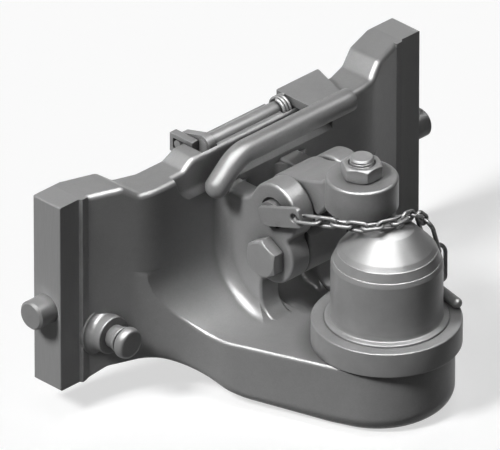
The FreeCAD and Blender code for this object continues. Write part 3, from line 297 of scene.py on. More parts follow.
def shell(grid, ringed=False, places=4):
    # quads between neighbours of a grid that is closed across, and along too when ringed; points that are the
    # same to that many decimal places become one, and the sign of the enclosed volume turns faces outwards
    rows, columns = grid.shape[:2]
    row = np.arange(rows if ringed else rows - 1)[:, None]
    column = np.arange(columns)[None]
    after, beside = (row + 1) % rows, (column + 1) % columns
    quads = np.stack([row * columns + column, row * columns + beside,
                      after * columns + beside, after * columns + column], -1).reshape(-1, 4)
    points = grid.reshape(-1, 3)
    _, kept, number = np.unique(np.round(points, places), axis=0, return_index=True, return_inverse=True)
    quads, points = number.reshape(-1)[quads], points[kept]
    quads = quads[(np.diff(np.sort(quads, axis=1), axis=1) == 0).sum(axis=1) < 2]
    a, b, c, d = (points[quads[:, i]] for i in range(4))
    volume = (np.cross(a, b) * c).sum() + (np.cross(a, c) * d).sum()
    return points, quads if volume > 0 else quads[:, ::-1]


def softened(radii, heights, softs, bends, most=0.48):
    # a row with a soft above 0 becomes rows on a parabola from soft before the corner to soft after it, each
    # end at most that share of the way to the next corner
    rows = []
    for i, soft in enumerate(softs):
        here = np.stack([radii[i], heights[i]], -1)
        if not soft:
            rows.append(here)
            continue
        arms = []
        for j in (i - 1, (i + 1) % len(softs)):
            arm = np.stack([radii[j], heights[j]], -1) - here
            reach = np.linalg.norm(arm, axis=-1, keepdims=True)
            arms.append(here + arm * np.minimum(soft / np.maximum(reach, 1e-6), most))
        for t in np.linspace(0, 1, bends):
            rows.append(arms[0] * (1 - t) ** 2 + here * 2 * t * (1 - t) + arms[1] * t ** 2)
    rows = np.array(rows)
    return rows[..., 0], rows[..., 1]


def turns(steps):                                  # even turns round a circle, in radians
    return np.linspace(0, 2 * pi, steps, endpoint=False)


def turned(rows, centre, along, towards=(0, 0, 1), steps=96, ringed=False, bends=4):
    # rows of (radius, height, soft) carried round an axis:
    # centre + height * along + radius * (cos u * across + sin u * beside); a radius may itself change with u
    radii = np.array([np.broadcast_to(row[0], steps) for row in rows], float)
    heights = np.array([np.broadcast_to(row[1], steps) for row in rows], float)
    radii, heights = softened(radii, heights, [row[2] for row in rows], bends)
    along, across, beside = squareTo(along, towards)
    u = turns(steps)[:, None]
    ring = np.cos(u) * across + np.sin(u) * beside
    grid = np.asarray(centre, float) + heights[..., None] * along + radii[..., None] * ring
    return shell(grid, ringed)


def hexagonRadius(steps, flat, crisp=70):
    # distance from the axis to a hexagon's side at each turn: the flat over a root of summed powers of the
    # cosines to its six sides, which rounds its corners a little
    facing = np.maximum(np.cos(turns(steps)[:, None] - (np.arange(6) + 0.5) * pi / 3), 0)
    return flat / (facing ** crisp).sum(axis=1) ** (1 / crisp)


def hexagonRows(steps, flat, low, high, turnedBelow=False, soft=0.35, face=0.94, slope=30.0, foot=0.15):
    # a hexagon whose corners are turned off on a cone above, and below too when asked; the cone falls at its
    # slope in degrees from a round face, whose radius is a share of the flat
    hexagon = hexagonRadius(steps, flat)
    fall = (hexagon - face * flat) * math.tan(math.radians(slope))
    rows = [(face * flat, high, soft), (hexagon, high - fall, soft)]
    if turnedBelow:
        return rows + [(hexagon, low + fall, soft), (face * flat, low, soft)]
    return rows + [(hexagon, low, foot)]


def threadRows(steps, radius, start, end, pitch, deep, perTurn=9, mouth=0.4):
    # radius less a V groove that climbs one pitch in each turn, its mouth twice that share of the pitch wide
    rows = []
    for height in np.linspace(start, end, max(2, int(abs(end - start) / pitch * perTurn))):
        phase = (height / pitch - turns(steps) / (2 * pi)) % 1
        rows.append((radius - deep * np.clip(1 - np.abs(phase - 0.5) / mouth, 0, 1), height, 0))
    return rows


def tube(path, side, radius, steps, ringed=False, caps=None):
    # circles carried along a path: path + radius * (cos u * side + sin u * (direction x side));
    # each cap is (how far out, how wide) in radii, for the start and the end
    path = np.asarray(path, float)
    if ringed:
        direction = unit(np.roll(path, -1, axis=0) - np.roll(path, 1, axis=0))
    else:
        direction = unit(np.gradient(path, axis=0))
    side = np.broadcast_to(side, path.shape)
    radii = np.broadcast_to(radius, len(path)).astype(float)
    if caps:
        (outFirst, wideFirst), (outLast, wideLast) = (np.array(cap, float).T for cap in caps)
        first = path[0] - direction[0] * (radii[0] * outFirst[::-1, None])
        last = path[-1] + direction[-1] * (radii[-1] * outLast[:, None])
        path = np.concatenate([first, path, last])
        around = ((len(first), len(last)), (0, 0))
        direction, side = (np.pad(way, around, mode="edge") for way in (direction, side))
        radii = np.concatenate([radii[0] * wideFirst[::-1], radii, radii[-1] * wideLast])
    side = unit(side - (side * direction).sum(axis=-1, keepdims=True) * direction)
    u = turns(steps)[None, :, None]
    ring = np.cos(u) * side[:, None] + np.sin(u) * np.cross(direction, side)[:, None]
    return shell(path[:, None] + radii[:, None, None] * ring, ringed)


# a tube's ends: a half ball, and a sawn face with its edge broken
dome = [(math.sin(a), math.cos(a)) for a in np.linspace(0, pi / 2, 8)[1:]]
sawn = [(0.03, 0.99), (0.07, 0.95), (0.09, 0.9), (0.09, 0.0)]


def finishMesh(name, points, faces, body, slot, node, sharpAbove=32.0):
    # a mesh of the points in metres; where a face names a corner twice, it has one corner less
    single = np.ones(faces.shape, bool)
    for column in range(1, faces.shape[1]):
        single[:, column] = (faces[:, :column] != faces[:, column:column + 1]).all(axis=1)
    counts = single.sum(axis=1)
    corners = faces[single]
    mesh = bpy.data.meshes.new(name)
    mesh.vertices.add(len(points))
    mesh.vertices.foreach_set("co", points.astype(np.float32).ravel())
    mesh.loops.add(len(corners))
    mesh.loops.foreach_set("vertex_index", corners.astype(np.int32))
    mesh.polygons.add(len(faces))
    mesh.polygons.foreach_set("loop_start", (np.cumsum(counts) - counts).astype(np.int32))
    mesh.polygons.foreach_set("use_smooth", np.ones(len(faces), bool))
    mesh.update(calc_edges=True)
    mesh.set_sharp_from_angle(angle=math.radians(sharpAbove))
    piece = bpy.data.objects.new(name, mesh)
    bpy.context.scene.collection.objects.link(piece)
    mesh.materials.append(finishes[slot])
    if body:
        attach(piece, body)
    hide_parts(node)
    return piece


bodyOf = {node: body for body, nodes in record["behaviour"]["bodies"].items() for node in nodes}
slotOf = {part["node"]: part["material_slot"] for part in record["subparts"]}
shaped = set()


def shapeNode(node, shells, rides=True, sharpAbove=32.0):
    # closed shells in millimetres, joined in one piece that stands for the node
    counts = np.cumsum([0] + [len(points) for points, _ in shells])
    points = np.concatenate([points for points, _ in shells]) / 1000
    faces = np.concatenate([faces + count for (_, faces), count in zip(shells, counts)])
    body = bodyOf[node] if rides else None
    shaped.add(node)
    return finishMesh(node + "_shaped", points, faces, body, slotOf[node], node, sharpAbove)


# the tow pin and its ring; a row is (radius, height, soft), where soft is how far its corner is rounded
towPin = {
    "forward": 157.0, "steps": 160, "bends": 5,
    "pinRows": [(0, -13.5, 0), (24.0, -13.5, 1.0), (24.0, 25.3, 0.3), (40.5, 25.3, 0.3),
                (40.5, 44.0, 0.7), (36.8, 44.9, 0.8), (36.4, 47.0, 0.6), (36.4, 83.7, 0.5),
                (35.2, 86.7, 0.15), (34.7, 86.9, 0.15), (32.6, 93.0, 0.15), (32.1, 93.2, 0.15),
                (29.8, 96.4, 0.5), (17.6, 109.0, 0.6), (10.8, 112.0, 0.5), (0, 112.0, 0)],
    "ringRows": [(40.52, 25.3, 0.4), (49.1, 25.3, 1.0), (49.1, 42.8, 1.1), (40.52, 42.8, 0.5)],
}


def shapeTowPin(plan):
    # both profiles turned round one upright axis
    centre, up, steps, bends = (0, -plan["forward"], 0), (0, 0, 1), plan["steps"], plan["bends"]
    shapeNode("tow_pin", [turned(plan["pinRows"], centre, up, steps=steps, bends=bends)])
    shapeNode("wear_ring", [turned(plan["ringRows"], centre, up, steps=steps, ringed=True, bends=bends)])


# the four socket screws below, with heights from the head's seat; belly is their retainer's lower face
retainerScrews = {
    "circle": 14.0, "turns": (45, 135, 225, 315), "steps": 48, "belly": -20.5,
    "screw": 4.0, "length": 24.0, "head": 6.5, "tall": 4.0,
    "socket": 3.0, "socketDeep": 2.6, "drillPoint": 0.8, "socketRim": (0.35, 0.3),
}


def shapeRetainerScrews(plan, forward):
    # a profile turned round each screw's axis; in the socket its radius follows a hexagon
    screw, head, tall, steps, circle = (plan[key] for key in ("screw", "head", "tall", "steps", "circle"))
    socket, (rimWide, rimDeep) = hexagonRadius(steps, plan["socket"]), plan["socketRim"]
    floor, end = tall - plan["socketDeep"], tall - plan["length"]
    rows = [(0, floor - plan["drillPoint"], 0), (socket, floor, 0), (socket, tall - rimDeep, 0),
            (socket + rimWide, tall, 0), (head, tall, 0.6), (head, 0, 0.2), (screw, 0, 0.2),
            (screw, end, 0.5), (0, end, 0)]
    screws = []
    for turn in plan["turns"]:
        around = math.radians(turn)
        centre = (circle * math.cos(around), -forward - circle * math.sin(around), plan["belly"] + tall)
        screws.append(turned(rows, centre, (0, 0, -1), (1, 0, 0), steps))
    shapeNode("retainer_screws", screws)


shapeTowPin(towPin)
shapeRetainerScrews(retainerScrews, towPin["forward"])
print("tow pin, wear ring and their screws shaped")


# what the large bolts and nuts have in common: the thread, how much wider a bore is than its bolt, and a
# bore's mouth as (how wide, how deep)
thread = {"pitch": 2.0, "deep": 1.05, "play": 0.02, "mouth": (1.0, 1.2), "steps": 96}


def nutRows(bolt, flat, low, high):
    # from the bore's upper mouth over a hexagon with both faces turned off to its lower mouth
    bore, (wide, deep) = bolt + thread["play"], thread["mouth"]
    return ([(bore, high - deep, 0.2), (bolt + wide, high, 0.2)]
            + hexagonRows(thread["steps"], flat, low, high, True)
            + [(bolt + wide, low, 0.2), (bore, low + deep, 0.2)])


def threaded(radius, start, end):
    # the thread's rows, then the bolt's flat end
    runOut, top = end
    core = radius - thread["deep"]
    return (threadRows(thread["steps"], radius, start, runOut, thread["pitch"], thread["deep"])
            + [(core, top, 0.3), (0, top, 0)])


# the bolt that the arm swings on, through both ears; bearing is the round face under its head, as (share of
# the flat, height)
pivot = {
    "forward": 85.5, "height": 73.5, "earFace": 34.7,
    "bolt": 8.0, "flat": 12.12, "head": 9.5, "bearing": (0.95, 0.5),
    "threadLength": 24.0, "runIn": 0.8, "runOut": 1.2, "stub": 3.0,
    "washer": 15.0, "washerThick": 3.0, "nut": 13.0,
}


def shapePivot(plan):
    # hexagon, shank and thread turned round the bolt's axis from left to right, then the washer and the nut
    steps, right, face, thick = thread["steps"], (1, 0, 0), plan["earFace"], plan["washerThick"]
    forward, height, bolt, flat, head = (plan[key] for key in ("forward", "height", "bolt", "flat", "head"))
    length = 2 * face + thick + plan["nut"] + plan["stub"]
    start = length - plan["threadLength"]
    bearing, raised = plan["bearing"]
    crown = [(radius, -rise, soft) for radius, rise, soft in hexagonRows(steps, flat, raised, head)]
    shapeNode("pivot_bolt", [turned(
        [(0, -head, 0)] + crown + [(bearing * flat, -raised, 0.1), (bearing * flat, 0, 0.15)]
        + [(bolt, 0, 0.4), (bolt, start, 0.4)]
        + threaded(bolt, start + plan["runIn"], (length - plan["runOut"], length)),
        (-face, -forward, height), right, steps=steps)])
    bore, washer = bolt + thread["play"], plan["washer"]
    shapeNode("pivot_washer", [turned(
        [(bore, 0, 0.2), (washer, 0, 0.4), (washer, thick, 0.5), (bore, thick, 0.3)],
        (face, -forward, height), right, steps=steps, ringed=True)])
    shapeNode("pivot_nut", [turned(
        nutRows(bolt, flat, 0, plan["nut"]),
        (face + thick, -forward, height), right, steps=steps, ringed=True)])


# the screw in the arm's boss, with its lock nut and its pad
holdDown = {
    "forward": 134.0, "bossTop": 138.2, "screw": 8.0, "bottom": 116.4, "top": 152.5,
    "runIn": 1.1, "runOut": 1.3, "nut": 10.0, "flat": 12.12, "pad": 9.5, "padBottom": 112.4,
}


def shapeHoldDown(plan):
    # thread, hexagon and pad turned round one upright axis
    steps, middle, up, right = thread["steps"], (0, -plan["forward"], 0), (0, 0, 1), (1, 0, 0)
    screw, boss, low, top = plan["screw"], plan["bossTop"], plan["bottom"], plan["top"]
    shapeNode("hold_down_screw", [turned(
        [(0, low, 0), (screw - thread["deep"], low, 0.3)]
        + threaded(screw, low + plan["runIn"], (top - plan["runOut"], top)),
        middle, up, right, steps)])
    shapeNode("hold_down_nut", [turned(
        nutRows(screw, plan["flat"], boss, boss + plan["nut"]),
        middle, up, right, steps, ringed=True)])
    pad, foot = plan["pad"], plan["padBottom"]
    shapeNode("hold_down_pad", [turned(
        [(0, foot, 0), (pad, foot, 1.2), (pad, low, 0.5), (0, low, 0)],
        middle, up, right, steps)])


# the four hexagon screws of the straps behind the web
guideScrews = {
    "places": (-54.0, 54.0), "heights": (86.0, 37.0), "face": 13.5, "steps": 60,
    "flat": 6.5, "head": 5.5, "bearing": (0.95, 0.4), "screw": 4.0, "length": 14.0,
}


def shapeGuideScrews(plan):
    # hexagon and shank turned round axes that point backwards
    steps, flat, head, screw, length = (plan[key] for key in ("steps", "flat", "head", "screw", "length"))
    bearing, raised = plan["bearing"]
    rows = ([(0, head, 0)] + hexagonRows(steps, flat, raised, head, soft=0.25)
            + [(bearing * flat, raised, 0.1), (bearing * flat, 0, 0.1), (screw, 0, 0.2),
               (screw, -length, 0.6), (0, -length, 0)])
    shapeNode("guide_screws", [turned(rows, (x, -plan["face"], z), (0, 1, 0), (1, 0, 0), steps)
                               for x in plan["places"] for z in plan["heights"]])


shapePivot(pivot)
shapeHoldDown(holdDown)
shapeGuideScrews(guideScrews)
print("bolts, nuts and screws shaped")


# the grooved stud at the left of the web
stud = {
    "place": -130.0, "height": 33.0, "steps": 96, "bends": 5,
    "rows": [(0, 24.0, 0), (6.0, 24.0, 0.5), (6.0, 38.0, 0.2), (7.8, 38.0, 0.6), (7.8, 43.6, 0.8),
             (8.7, 44.2, 0.5), (8.7, 46.2, 0.7), (7.0, 46.6, 0.3), (7.0, 47.6, 0.6), (10.4, 48.4, 1.6),
             (10.7, 51.0, 2.0), (9.6, 54.4, 1.6), (7.6, 55.0, 1.0), (0, 55.0, 0)],
}


def shapeStud(plan):
    # its profile turned round an axis that points forward
    centre, front = (plan["place"], 0, plan["height"]), (0, -1, 0)
    shapeNode("holder_stud", [turned(plan["rows"], centre, front, steps=plan["steps"], bends=plan["bends"])])


# the handle's shaft, and the crank's pin that stands out from it by reach, dipped by some degrees
shaft = {
    "forward": 26.0, "height": 131.6, "radius": 5.5, "left": -38.0, "right": 60.0, "soft": 0.8, "steps": 64,
    "pinReach": 16.0, "pinDip": 10.0, "pin": 3.0, "pinLeft": -44.5, "pinRight": -32.0, "pinSoft": 0.5,
    "pinSteps": 48,
}


def roundBar(node, radius, left, right, soft, forward, height, steps):
    # a round bar from left to right with softened ends
    rows = [(0, left, 0), (radius, left, soft), (radius, right, soft), (0, right, 0)]
    shapeNode(node, [turned(rows, (0, -forward, height), (1, 0, 0), steps=steps)])


def shapeShaft(plan):
    forward, height = plan["forward"], plan["height"]
    roundBar("handle_shaft", plan["radius"], plan["left"], plan["right"], plan["soft"], forward, height,
             plan["steps"])
    dip, reach = math.radians(plan["pinDip"]), plan["pinReach"]
    roundBar("crank_pin", plan["pin"], plan["pinLeft"], plan["pinRight"], plan["pinSoft"],
             forward - reach * math.cos(dip), height - reach * math.sin(dip), plan["pinSteps"])


grip = {
    "radius": 7.8, "forward": 51.0, "height": 132.0, "right": 72.6, "steps": 48,
    "bendStart": -21.0, "bendRadius": 25.0, "bendAngle": 41.0, "tail": 15.0,
    "runPoints": 24, "bendPoints": 15, "tailPoints": 6,
}


def shapeGrip(plan):
    # circles along a straight run to the left, an arc downwards and a short straight tail
    angle, radius = math.radians(plan["bendAngle"]), plan["radius"]
    bend, start = plan["bendRadius"], plan["bendStart"]
    run = np.linspace(plan["right"] - sawn[-1][0] * radius, start, plan["runPoints"])
    turn = np.linspace(0, angle, plan["bendPoints"])[1:]
    tail = np.linspace(0, plan["tail"], plan["tailPoints"])[1:]
    x = np.concatenate([run, start - bend * np.sin(turn)])
    z = np.concatenate([0 * run, -bend * (1 - np.cos(turn))])
    x = np.concatenate([x, x[-1] - tail * math.cos(angle)])
    z = np.concatenate([z, z[-1] - tail * math.sin(angle)]) + plan["height"]
    path = np.stack([x, 0 * x - plan["forward"], z], -1)
    shapeNode("handle_bar", [tube(path, (0, -1, 0), radius, plan["steps"], caps=(sawn, dome))])


# the torsion spring on the shaft; points are to a turn, and steps go round the wire
spring = {"radius": 7.2, "wire": 1.1, "turns": 3.0, "pitch": 2.6, "left": 30.1, "points": 40, "steps": 14}


def shapeSpring(plan, forward, height):
    # circles along a helix round the shaft
    u = np.linspace(0, plan["turns"] * 2 * pi, int(plan["turns"] * plan["points"]))
    x = plan["left"] + plan["pitch"] * u / (2 * pi)
    spoke = np.stack([0 * u, -np.sin(u), np.cos(u)], -1)
    path = np.stack([x, -forward + 0 * x, height + 0 * x], -1) + plan["radius"] * spoke
    shapeNode("handle_spring", [tube(path, spoke, plan["wire"], plan["steps"], caps=(sawn, sawn))])


shapeStud(stud)
shapeShaft(shaft)
shapeGrip(grip)
shapeSpring(spring, shaft["forward"], shaft["height"])
print("stud, shaft, grip and spring shaped")


# the folded plate on the lock pin's left end
tab = {
    "left": -38.2, "thick": 3.4, "forward": 88.5, "height": 106.0, "tilt": 20.0,
    "back": -6.0, "front": 33.0, "tall": 14.0, "corner": 3.0, "rim": 0.7,
    "hole": 3.2, "holePlace": 27.5, "holeBreak": 0.4, "step": 0.6, "stepPlace": 8.5, "stepRun": 3.5,
    "steps": 144, "faceRows": 13, "rimRows": 5, "sharpAbove": 50.0,
}


def toBorder(way, low, high, half, corner, inset):
    # how far each ray runs to a rounded rectangle less its inset: to the nearest side, or to a corner's arc
    side = np.where(way[:, 0] > 0, high - inset, low + inset) / np.where(way[:, 0] == 0, 1e-9, way[:, 0])
    edge = (half - inset) / np.maximum(np.abs(way[:, 1]), 1e-9)
    reach = np.minimum(side, edge)
    arc = corner - inset
    spotX = np.where(way[:, 0] > 0, high - corner, low + corner)
    spotY = np.sign(way[:, 1]) * (half - corner)
    ahead = way[:, 0] * spotX + way[:, 1] * spotY
    off = ahead ** 2 - spotX ** 2 - spotY ** 2 + arc ** 2
    hit = ahead + np.sqrt(np.maximum(off, 0))
    ends = way * reach[:, None]
    past = (np.abs(ends[:, 0]) > np.abs(spotX)) & (np.abs(ends[:, 1]) > np.abs(spotY)) & (off > 0)
    return np.where(past, hit, reach)


def shapeTab(plan):
    # rays from the hole to the border, carried over the rim and back: the plate as one ring of rows
    u = turns(plan["steps"])
    way = np.stack([np.cos(u), np.sin(u)], -1)
    middle, thick, rim, lip = plan["holePlace"], plan["thick"], plan["rim"], plan["holeBreak"]
    sides = (plan["back"] - middle, plan["front"] - middle, plan["tall"] / 2, plan["corner"])
    hole = plan["hole"] + 0 * u
    quarter = np.linspace(0, pi / 2, plan["rimRows"])[1:]
    front = [((hole + lip) * (1 - share) + toBorder(way, *sides, rim) * share, 0.0)
             for share in np.linspace(0, 1, plan["faceRows"])]
    front += [(toBorder(way, *sides, rim * (1 - math.sin(a))), rim * (1 - math.cos(a))) for a in quarter]
    back = [(reach, thick - depth) for reach, depth in front[::-1]]
    rows = front + back + [(hole, thick - lip), (hole, lip)]
    reach = np.array([row[0] for row in rows])
    depth = np.array([row[1] for row in rows])[:, None]
    a = middle + reach * way[:, 0]
    b = reach * way[:, 1]
    # beyond the pin the plate steps outwards over a short bend, as a smooth S of its length
    share = np.clip((a - plan["stepPlace"]) / plan["stepRun"], 0, 1)
    tilt = math.radians(plan["tilt"])
    x = plan["left"] - depth - plan["step"] * share * share * (3 - 2 * share)
    y = -(plan["forward"] + a * math.cos(tilt) - b * math.sin(tilt))
    z = plan["height"] + a * math.sin(tilt) + b * math.cos(tilt)
    plate = shell(np.stack([x, y, z], -1), ringed=True)
    shapeNode("lock_pin_tab", [plate], sharpAbove=plan["sharpAbove"])


def loop(centre, along, across, length, width, wire, weld, steps=16, bendPoints=15, sidePoints=9,
         weldReach=1.3):
    # a closed link: circles along half circles at both ends and straight sides, as points of (a, b) on its
    # length and width; the wire swells as a bell curve at the weld in the middle of one side
    half = width / 2 - wire
    straight = length / 2 - wire - half
    bend = np.linspace(-pi / 2, pi / 2, bendPoints)
    side = np.linspace(-straight, straight, sidePoints)[1:-1]
    a = np.concatenate([straight + half * np.cos(bend), side[::-1], -straight - half * np.cos(bend), side])
    b = np.concatenate([half * np.sin(bend), half + 0 * side, -half * np.sin(bend), -half + 0 * side])
    path = centre + a[:, None] * unit(along) + b[:, None] * unit(across)
    swell = 1 + weld * np.exp(-(a / weldReach) ** 2) * (b < 0)
    return tube(path, np.cross(unit(along), unit(across)), wire * swell, steps, ringed=True)


chain = {
    # where it runs, as x, forward and height: from the tab over the tow pin's crown and down its right side
    "route": ((-40.5, 116.5, 115.6), (-35.6, 134.5, 118.5), (-20.0, 161.0, 118.0), (-2.0, 166.5, 117.2),
              (10.5, 165.0, 116.8), (23.0, 161.0, 111.0), (34.5, 159.0, 100.0), (42.0, 157.0, 88.0)),
    "stays": (36.0, -159.0, 100.0), "goes": (-40.5, -116.5, 115.6),      # points near the chain's two ends, at the tow pin's side and at the tab
    "links": 10, "wire": 1.25, "length": 15.6, "width": 8.3, "firstLength": 21.0, "firstWidth": 12.0,
    "slack": 0.3, "weld": 0.14,
}


def chainSpots(plan):
    # where neighbouring links meet: the route walked at the chain's pitch
    route = np.array([(x, -forward, z) for x, forward, z in plan["route"]], float)
    pitch = plan["length"] - 4 * plan["wire"] - plan["slack"]
    spots, here, leg = [route[0]], route[0], 0
    left = pitch + plan["firstLength"] - plan["length"]
    while len(spots) < plan["links"] + 1:
        if leg + 2 < len(route) and np.linalg.norm(route[leg + 1] - here) < left:
            left -= np.linalg.norm(route[leg + 1] - here)
            here, leg = route[leg + 1], leg + 1
            continue
        here = here + unit(route[leg + 1] - route[leg]) * left
        spots.append(here)
        left = pitch
    return spots


def shapeChain(plan, spots):
    # each link reaches from one meeting place to the next, and every second one is turned a quarter round
    links = []
    for i, (first, last) in enumerate(zip(spots, spots[1:])):
        way = unit(last - first)
        side = unit(np.cross(way, (0, 0, 1)))
        if i % 2:
            side = np.cross(side, way)
        length, width = (plan["length"], plan["width"]) if i else (plan["firstLength"], plan["firstWidth"])
        links.append(loop((first + last) / 2, way, side, length, width, plan["wire"], plan["weld"]))
    piece = shapeNode("safety_chain", links, rides=False)
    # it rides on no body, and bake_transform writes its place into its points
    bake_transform(piece)


# the lynch pin's wire bail, standing on the pin's head
bail = {
    "head": (46.2, 152.0, 46.3), "turn": 12.0, "wire": 1.4, "width": 20.0, "tall": 31.0, "aside": 2.0,
    "corner": 2.5, "steps": 18, "cornerPoints": 7, "archPoints": 25, "runPoints": 9,
}
# the ring between chain and bail: its ends go back from the last link, and aside and down from the bail's top
ring = {"wire": 1.5, "width": 16.0, "weld": 0.1, "back": 1.6, "aside": 1.0, "down": 1.5}


def bailFrame(plan):
    # where its pin's head is, and the direction across it
    x, forward, z = plan["head"]
    turn = math.radians(plan["turn"])
    return np.array((x, -forward, z)), np.array((math.cos(turn), -math.sin(turn), 0))


def shapeRing(plan, spots, bailPlan):
    # a loop drawn from the last link to the bail's arch
    head, across = bailFrame(bailPlan)
    wire = plan["wire"]
    rise = bailPlan["tall"] - 3 * bailPlan["wire"] - wire - plan["down"]
    low = head + plan["aside"] * across + (0, 0, rise)
    high = spots[-1] - unit(spots[-1] - spots[-2]) * plan["back"]
    along = unit(high - low)
    square = np.cross(np.cross((0, 1, 0), along), along)
    length = np.linalg.norm(high - low) + 2 * wire
    middle = (high + low) / 2
    shapeNode("chain_ring", [loop(middle, along, square, length, plan["width"], wire, plan["weld"])])


def shapeBail(plan):
    # circles along a D, from its foot over a corner, a side, the half circle, a side and the other corner
    head, across = bailFrame(plan)
    wire, corner = plan["wire"], plan["corner"]
    half, top = plan["width"] / 2 - wire, plan["tall"] - 2 * wire
    quarter = np.linspace(0, pi / 2, plan["cornerPoints"])
    arch = np.linspace(0, pi, plan["archPoints"])
    rise = np.linspace(corner, top - half, plan["runPoints"])[1:-1]
    foot = np.linspace(-half + corner, half - corner, plan["runPoints"])[1:-1]
    a = np.concatenate([foot, half - corner + corner * np.sin(quarter), half + 0 * rise, half * np.cos(arch),
                        -half + 0 * rise, -half + corner - corner * np.cos(quarter)])
    b = np.concatenate([0 * foot, corner - corner * np.cos(quarter), rise, top - half + half * np.sin(arch),
                        rise[::-1], corner - corner * np.sin(quarter)])
    up = np.array((0, 0, 1))
    path = head + (a[:, None] + plan["aside"]) * across + b[:, None] * up
    shapeNode("lynch_bail", [tube(path, np.cross(across, up), wire, plan["steps"], ringed=True)])


shapeTab(tab)
meetings = chainSpots(chain)
shapeChain(chain, meetings)
shapeRing(ring, meetings, bail)
shapeBail(bail)
print("tab, chain, ring and bail shaped")


def joinedCopy(node, places=7):
    # the node's loose triangles, with corners that are the same to that many decimal places made one, so that
    # shading can run over them
    source = frame["nodes"][node].data
    points = np.empty(len(source.vertices) * 3, np.float32)
    corners = np.empty(len(source.loops), np.int32)
    source.vertices.foreach_get("co", points)
    source.loops.foreach_get("vertex_index", corners)
    keys = np.round(points.reshape(-1, 3).astype(float), places)
    kept, number = np.unique(keys, axis=0, return_inverse=True)
    faces = number.reshape(-1)[corners].reshape(-1, 3)
    whole = (faces[:, 0] != faces[:, 1]) & (faces[:, 1] != faces[:, 2]) & (faces[:, 0] != faces[:, 2])
    return kept, faces[whole]


# plates, pins and castings keep the form they were built with; these get their edges broken, by so many mm
broken = {
    "lever_plate": 0.45, "crank_arm": 0.4, "cam_plate": 0.4,
    "guide_strap_upper": 0.4, "guide_strap_lower": 0.4,
    "lock_pin": 0.7, "tow_pin_retainer": 0.5, "lynch_pin": 0.4,
    "follower_pin_left": 0.3, "follower_pin_right": 0.3,
}
breaking = {"flatWithin": 0.5, "edgeAbove": 40.0, "segments": 2, "faceWeight": 100}      # angles in degrees

# where the neck's top edge runs out into the web they are shaded as one: how far aside, forward and up in mm
runOut = {"aside": (84.0, 118.0), "forward": (30.0, 48.0), "height": (68.0, 78.0)}


def shadeAsOne(mesh, plan):
    # no edge counts as sharp where both of its ends lie inside the plan's box, on either side of the middle
    ends = np.empty(len(mesh.edges) * 2, np.int32)
    places = np.empty(len(mesh.vertices) * 3, np.float32)
    sharp = np.empty(len(mesh.edges), bool)
    mesh.edges.foreach_get("vertices", ends)
    mesh.vertices.foreach_get("co", places)
    mesh.edges.foreach_get("use_edge_sharp", sharp)
    places = places.reshape(-1, 3) * 1000 * (1, -1, 1)
    inside = np.ones(len(places), bool)
    for row, (low, high) in zip(np.abs(places).T, plan.values()):
        inside &= (row > low) & (row < high)
    mesh.edges.foreach_set("use_edge_sharp", sharp & ~inside[ends.reshape(-1, 2)].all(axis=1))


def dressNode(node, plan):
    # the node's own form, shaded smooth with wide faces leading; the plates and pins in the list also have
    # their flat faces merged and their edges bevelled
    points, faces = joinedCopy(node)
    piece = finishMesh(node + "_finished", points, faces, bodyOf[node], slotOf[node], node)
    if node == "hitch_body":
        shadeAsOne(piece.data, runOut)
    if node in broken:
        merge = piece.modifiers.new("flatFaces", "DECIMATE")
        merge.decimate_type = "DISSOLVE"
        merge.angle_limit = math.radians(plan["flatWithin"])
        edge = piece.modifiers.new("brokenEdges", "BEVEL")
        edge.width = broken[node] / 1000
        edge.segments = plan["segments"]
        edge.limit_method = "ANGLE"
        edge.angle_limit = math.radians(plan["edgeAbove"])
    weigh = piece.modifiers.new("flatFacesLead", "WEIGHTED_NORMAL")
    weigh.keep_sharp = True
    weigh.weight = plan["faceWeight"]


for node in frame["nodes"]:
    if node not in shaped:
        dressNode(node, breaking)
print("nodes shaped anew:", len(shaped), "nodes dressed:", len(frame["nodes"]) - len(shaped))


# floor, light and camera
studio = {
    "floorHeight": -0.0206, "floorSize": 8.0, "floorSeen": 0.44, "floorGlow": 0.61, "floorBounce": 0.08,
    "floorRough": 0.9, "skyLevel": 0.058,
    "sunFrom": (-0.68, 0.06, 0.72), "sunPower": 2.85, "sunSpread": 14.0,
    "fillFrom": (0.69, 0.69, 0.24), "fillPower": 1.0, "fillSpread": 40.0,
    # panels that only show as gloss: azimuth, elevation, size in m and power in W
    "panels": {"over": (-47.0, 72.5, 1.5, 520.0), "behind": (-104.0, 56.0, 1.1, 70.0),
               "beside": (51.0, 62.0, 1.0, 100.0)},
    "panelDistance": 1.4, "panelAims": (-20.0, -90.0, 60.0),             # metres from a point in mm
}


def makeFloor(plan):
    # the camera, mirrors and glass see a white floor that keeps the shadow; other light meets a dull one
    half = plan["floorSize"] / 2
    height = plan["floorHeight"]
    mesh = bpy.data.meshes.new("floor")
    mesh.from_pydata([(-half, -half, height), (half, -half, height), (half, half, height),
                      (-half, half, height)], [], [(0, 1, 2, 3)])
    floor = bpy.data.objects.new("floor", mesh)
    bpy.context.scene.collection.objects.link(floor)
    finish = Finish("paleFloor", {"Roughness": plan["floorRough"], "Specular IOR Level": 0.0,
                                  "Emission Strength": 1.0})
    seen = finish.seen()
    finish.feed({"Base Color": finish.blend(seen, grey(plan["floorBounce"]), grey(plan["floorSeen"])),
                 "Emission Color": finish.blend(seen, grey(0.0), grey(plan["floorGlow"]))})
    mesh.materials.append(finish.material)


def makeWorld(plan):
    # a white background for what is seen, and a dull sky for the light on the object
    world = bpy.data.worlds.new("studio")
    bpy.context.scene.world = world
    world.use_nodes = True
    nodes = Nodes(world.node_tree)
    sky = nodes.add("Background", {}, {"Strength": plan["skyLevel"]})
    white = nodes.add("Background", {}, {"Strength": 1.0})
    both = nodes.add("MixShader", {}, {0: nodes.seen(), 1: sky, 2: white})
    nodes.add("OutputWorld", {}, {"Surface": both})


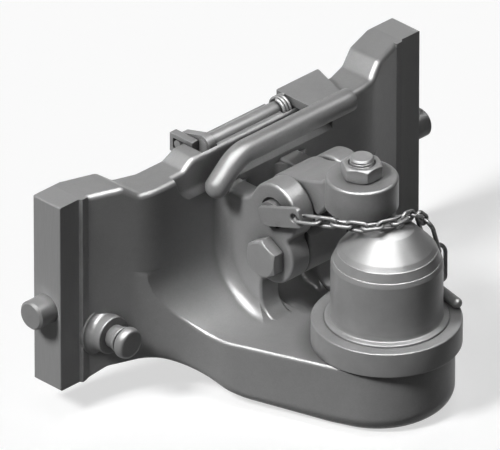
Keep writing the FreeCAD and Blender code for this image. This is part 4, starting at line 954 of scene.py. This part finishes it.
def fromAngles(azimuth, elevation):
    # direction towards a viewer: (sin a * cos e, -cos a * cos e, sin e)
    around, above = math.radians(azimuth), math.radians(elevation)
    return Vector((math.sin(around) * math.cos(above), -math.cos(around) * math.cos(above), math.sin(above)))


def addLamp(name, kind, towards, place=(0, 0, 0), **settings):
    # a lamp whose light comes from the direction towards; only a panel needs a place
    lamp = bpy.data.lights.new(name, kind)
    for setting, value in settings.items():
        setattr(lamp, setting, value)
    holder = bpy.data.objects.new(name, lamp)
    holder.location = place
    holder.rotation_euler = Vector(towards).to_track_quat("Z", "Y").to_euler()
    bpy.context.scene.collection.objects.link(holder)
    return holder


def makeLight(plan):
    # a broad sun from the upper left, and panels whose gloss draws the rounded edges
    addLamp("key", "SUN", plan["sunFrom"], energy=plan["sunPower"], angle=math.radians(plan["sunSpread"]))
    # a weak light without gloss from behind on the right, for the sides that the key leaves dark
    fill = addLamp("fill", "SUN", plan["fillFrom"], energy=plan["fillPower"],
                   angle=math.radians(plan["fillSpread"]))
    fill.visible_glossy = False
    for name, (azimuth, elevation, size, power) in plan["panels"].items():
        way = fromAngles(azimuth, elevation)
        place = mm(*plan["panelAims"]) + way * plan["panelDistance"]
        panel = addLamp("panel_" + name, "AREA", way, place, energy=power, size=size)
        panel.visible_diffuse = False


view = {
    "azimuth": -45.0, "elevation": 30.0,
    "middle": (-37.6, -70.0, 90.6),                # mm, the point at the middle of the picture
    "width": 322.2,                                # mm, what the picture shows from side to side
    "lens": 1400.0, "sensor": 36.0,                # mm
    "nearest": 0.1, "farthest": 3.0,               # where it starts to see in m, and ends in distances
}


def makeCamera(plan):
    # a very long lens from far away, so that lines stay parallel as they do in the drawing
    data = bpy.data.cameras.new("camera")
    camera = bpy.data.objects.new("camera", data)
    bpy.context.scene.collection.objects.link(camera)
    data.sensor_width = plan["sensor"]
    data.lens = plan["lens"]
    back = fromAngles(plan["azimuth"], plan["elevation"])
    distance = plan["width"] / 1000 * plan["lens"] / plan["sensor"]
    camera.location = mm(*plan["middle"]) + back * distance
    camera.rotation_euler = (-back).to_track_quat("-Z", "Y").to_euler()
    data.clip_start = plan["nearest"]
    data.clip_end = distance * plan["farthest"]
    bpy.context.scene.camera = camera


makeFloor(studio)
makeWorld(studio)
makeLight(studio)
makeCamera(view)
bpy.context.scene.view_settings.view_transform = "Standard"
print("floor, light and camera ready")
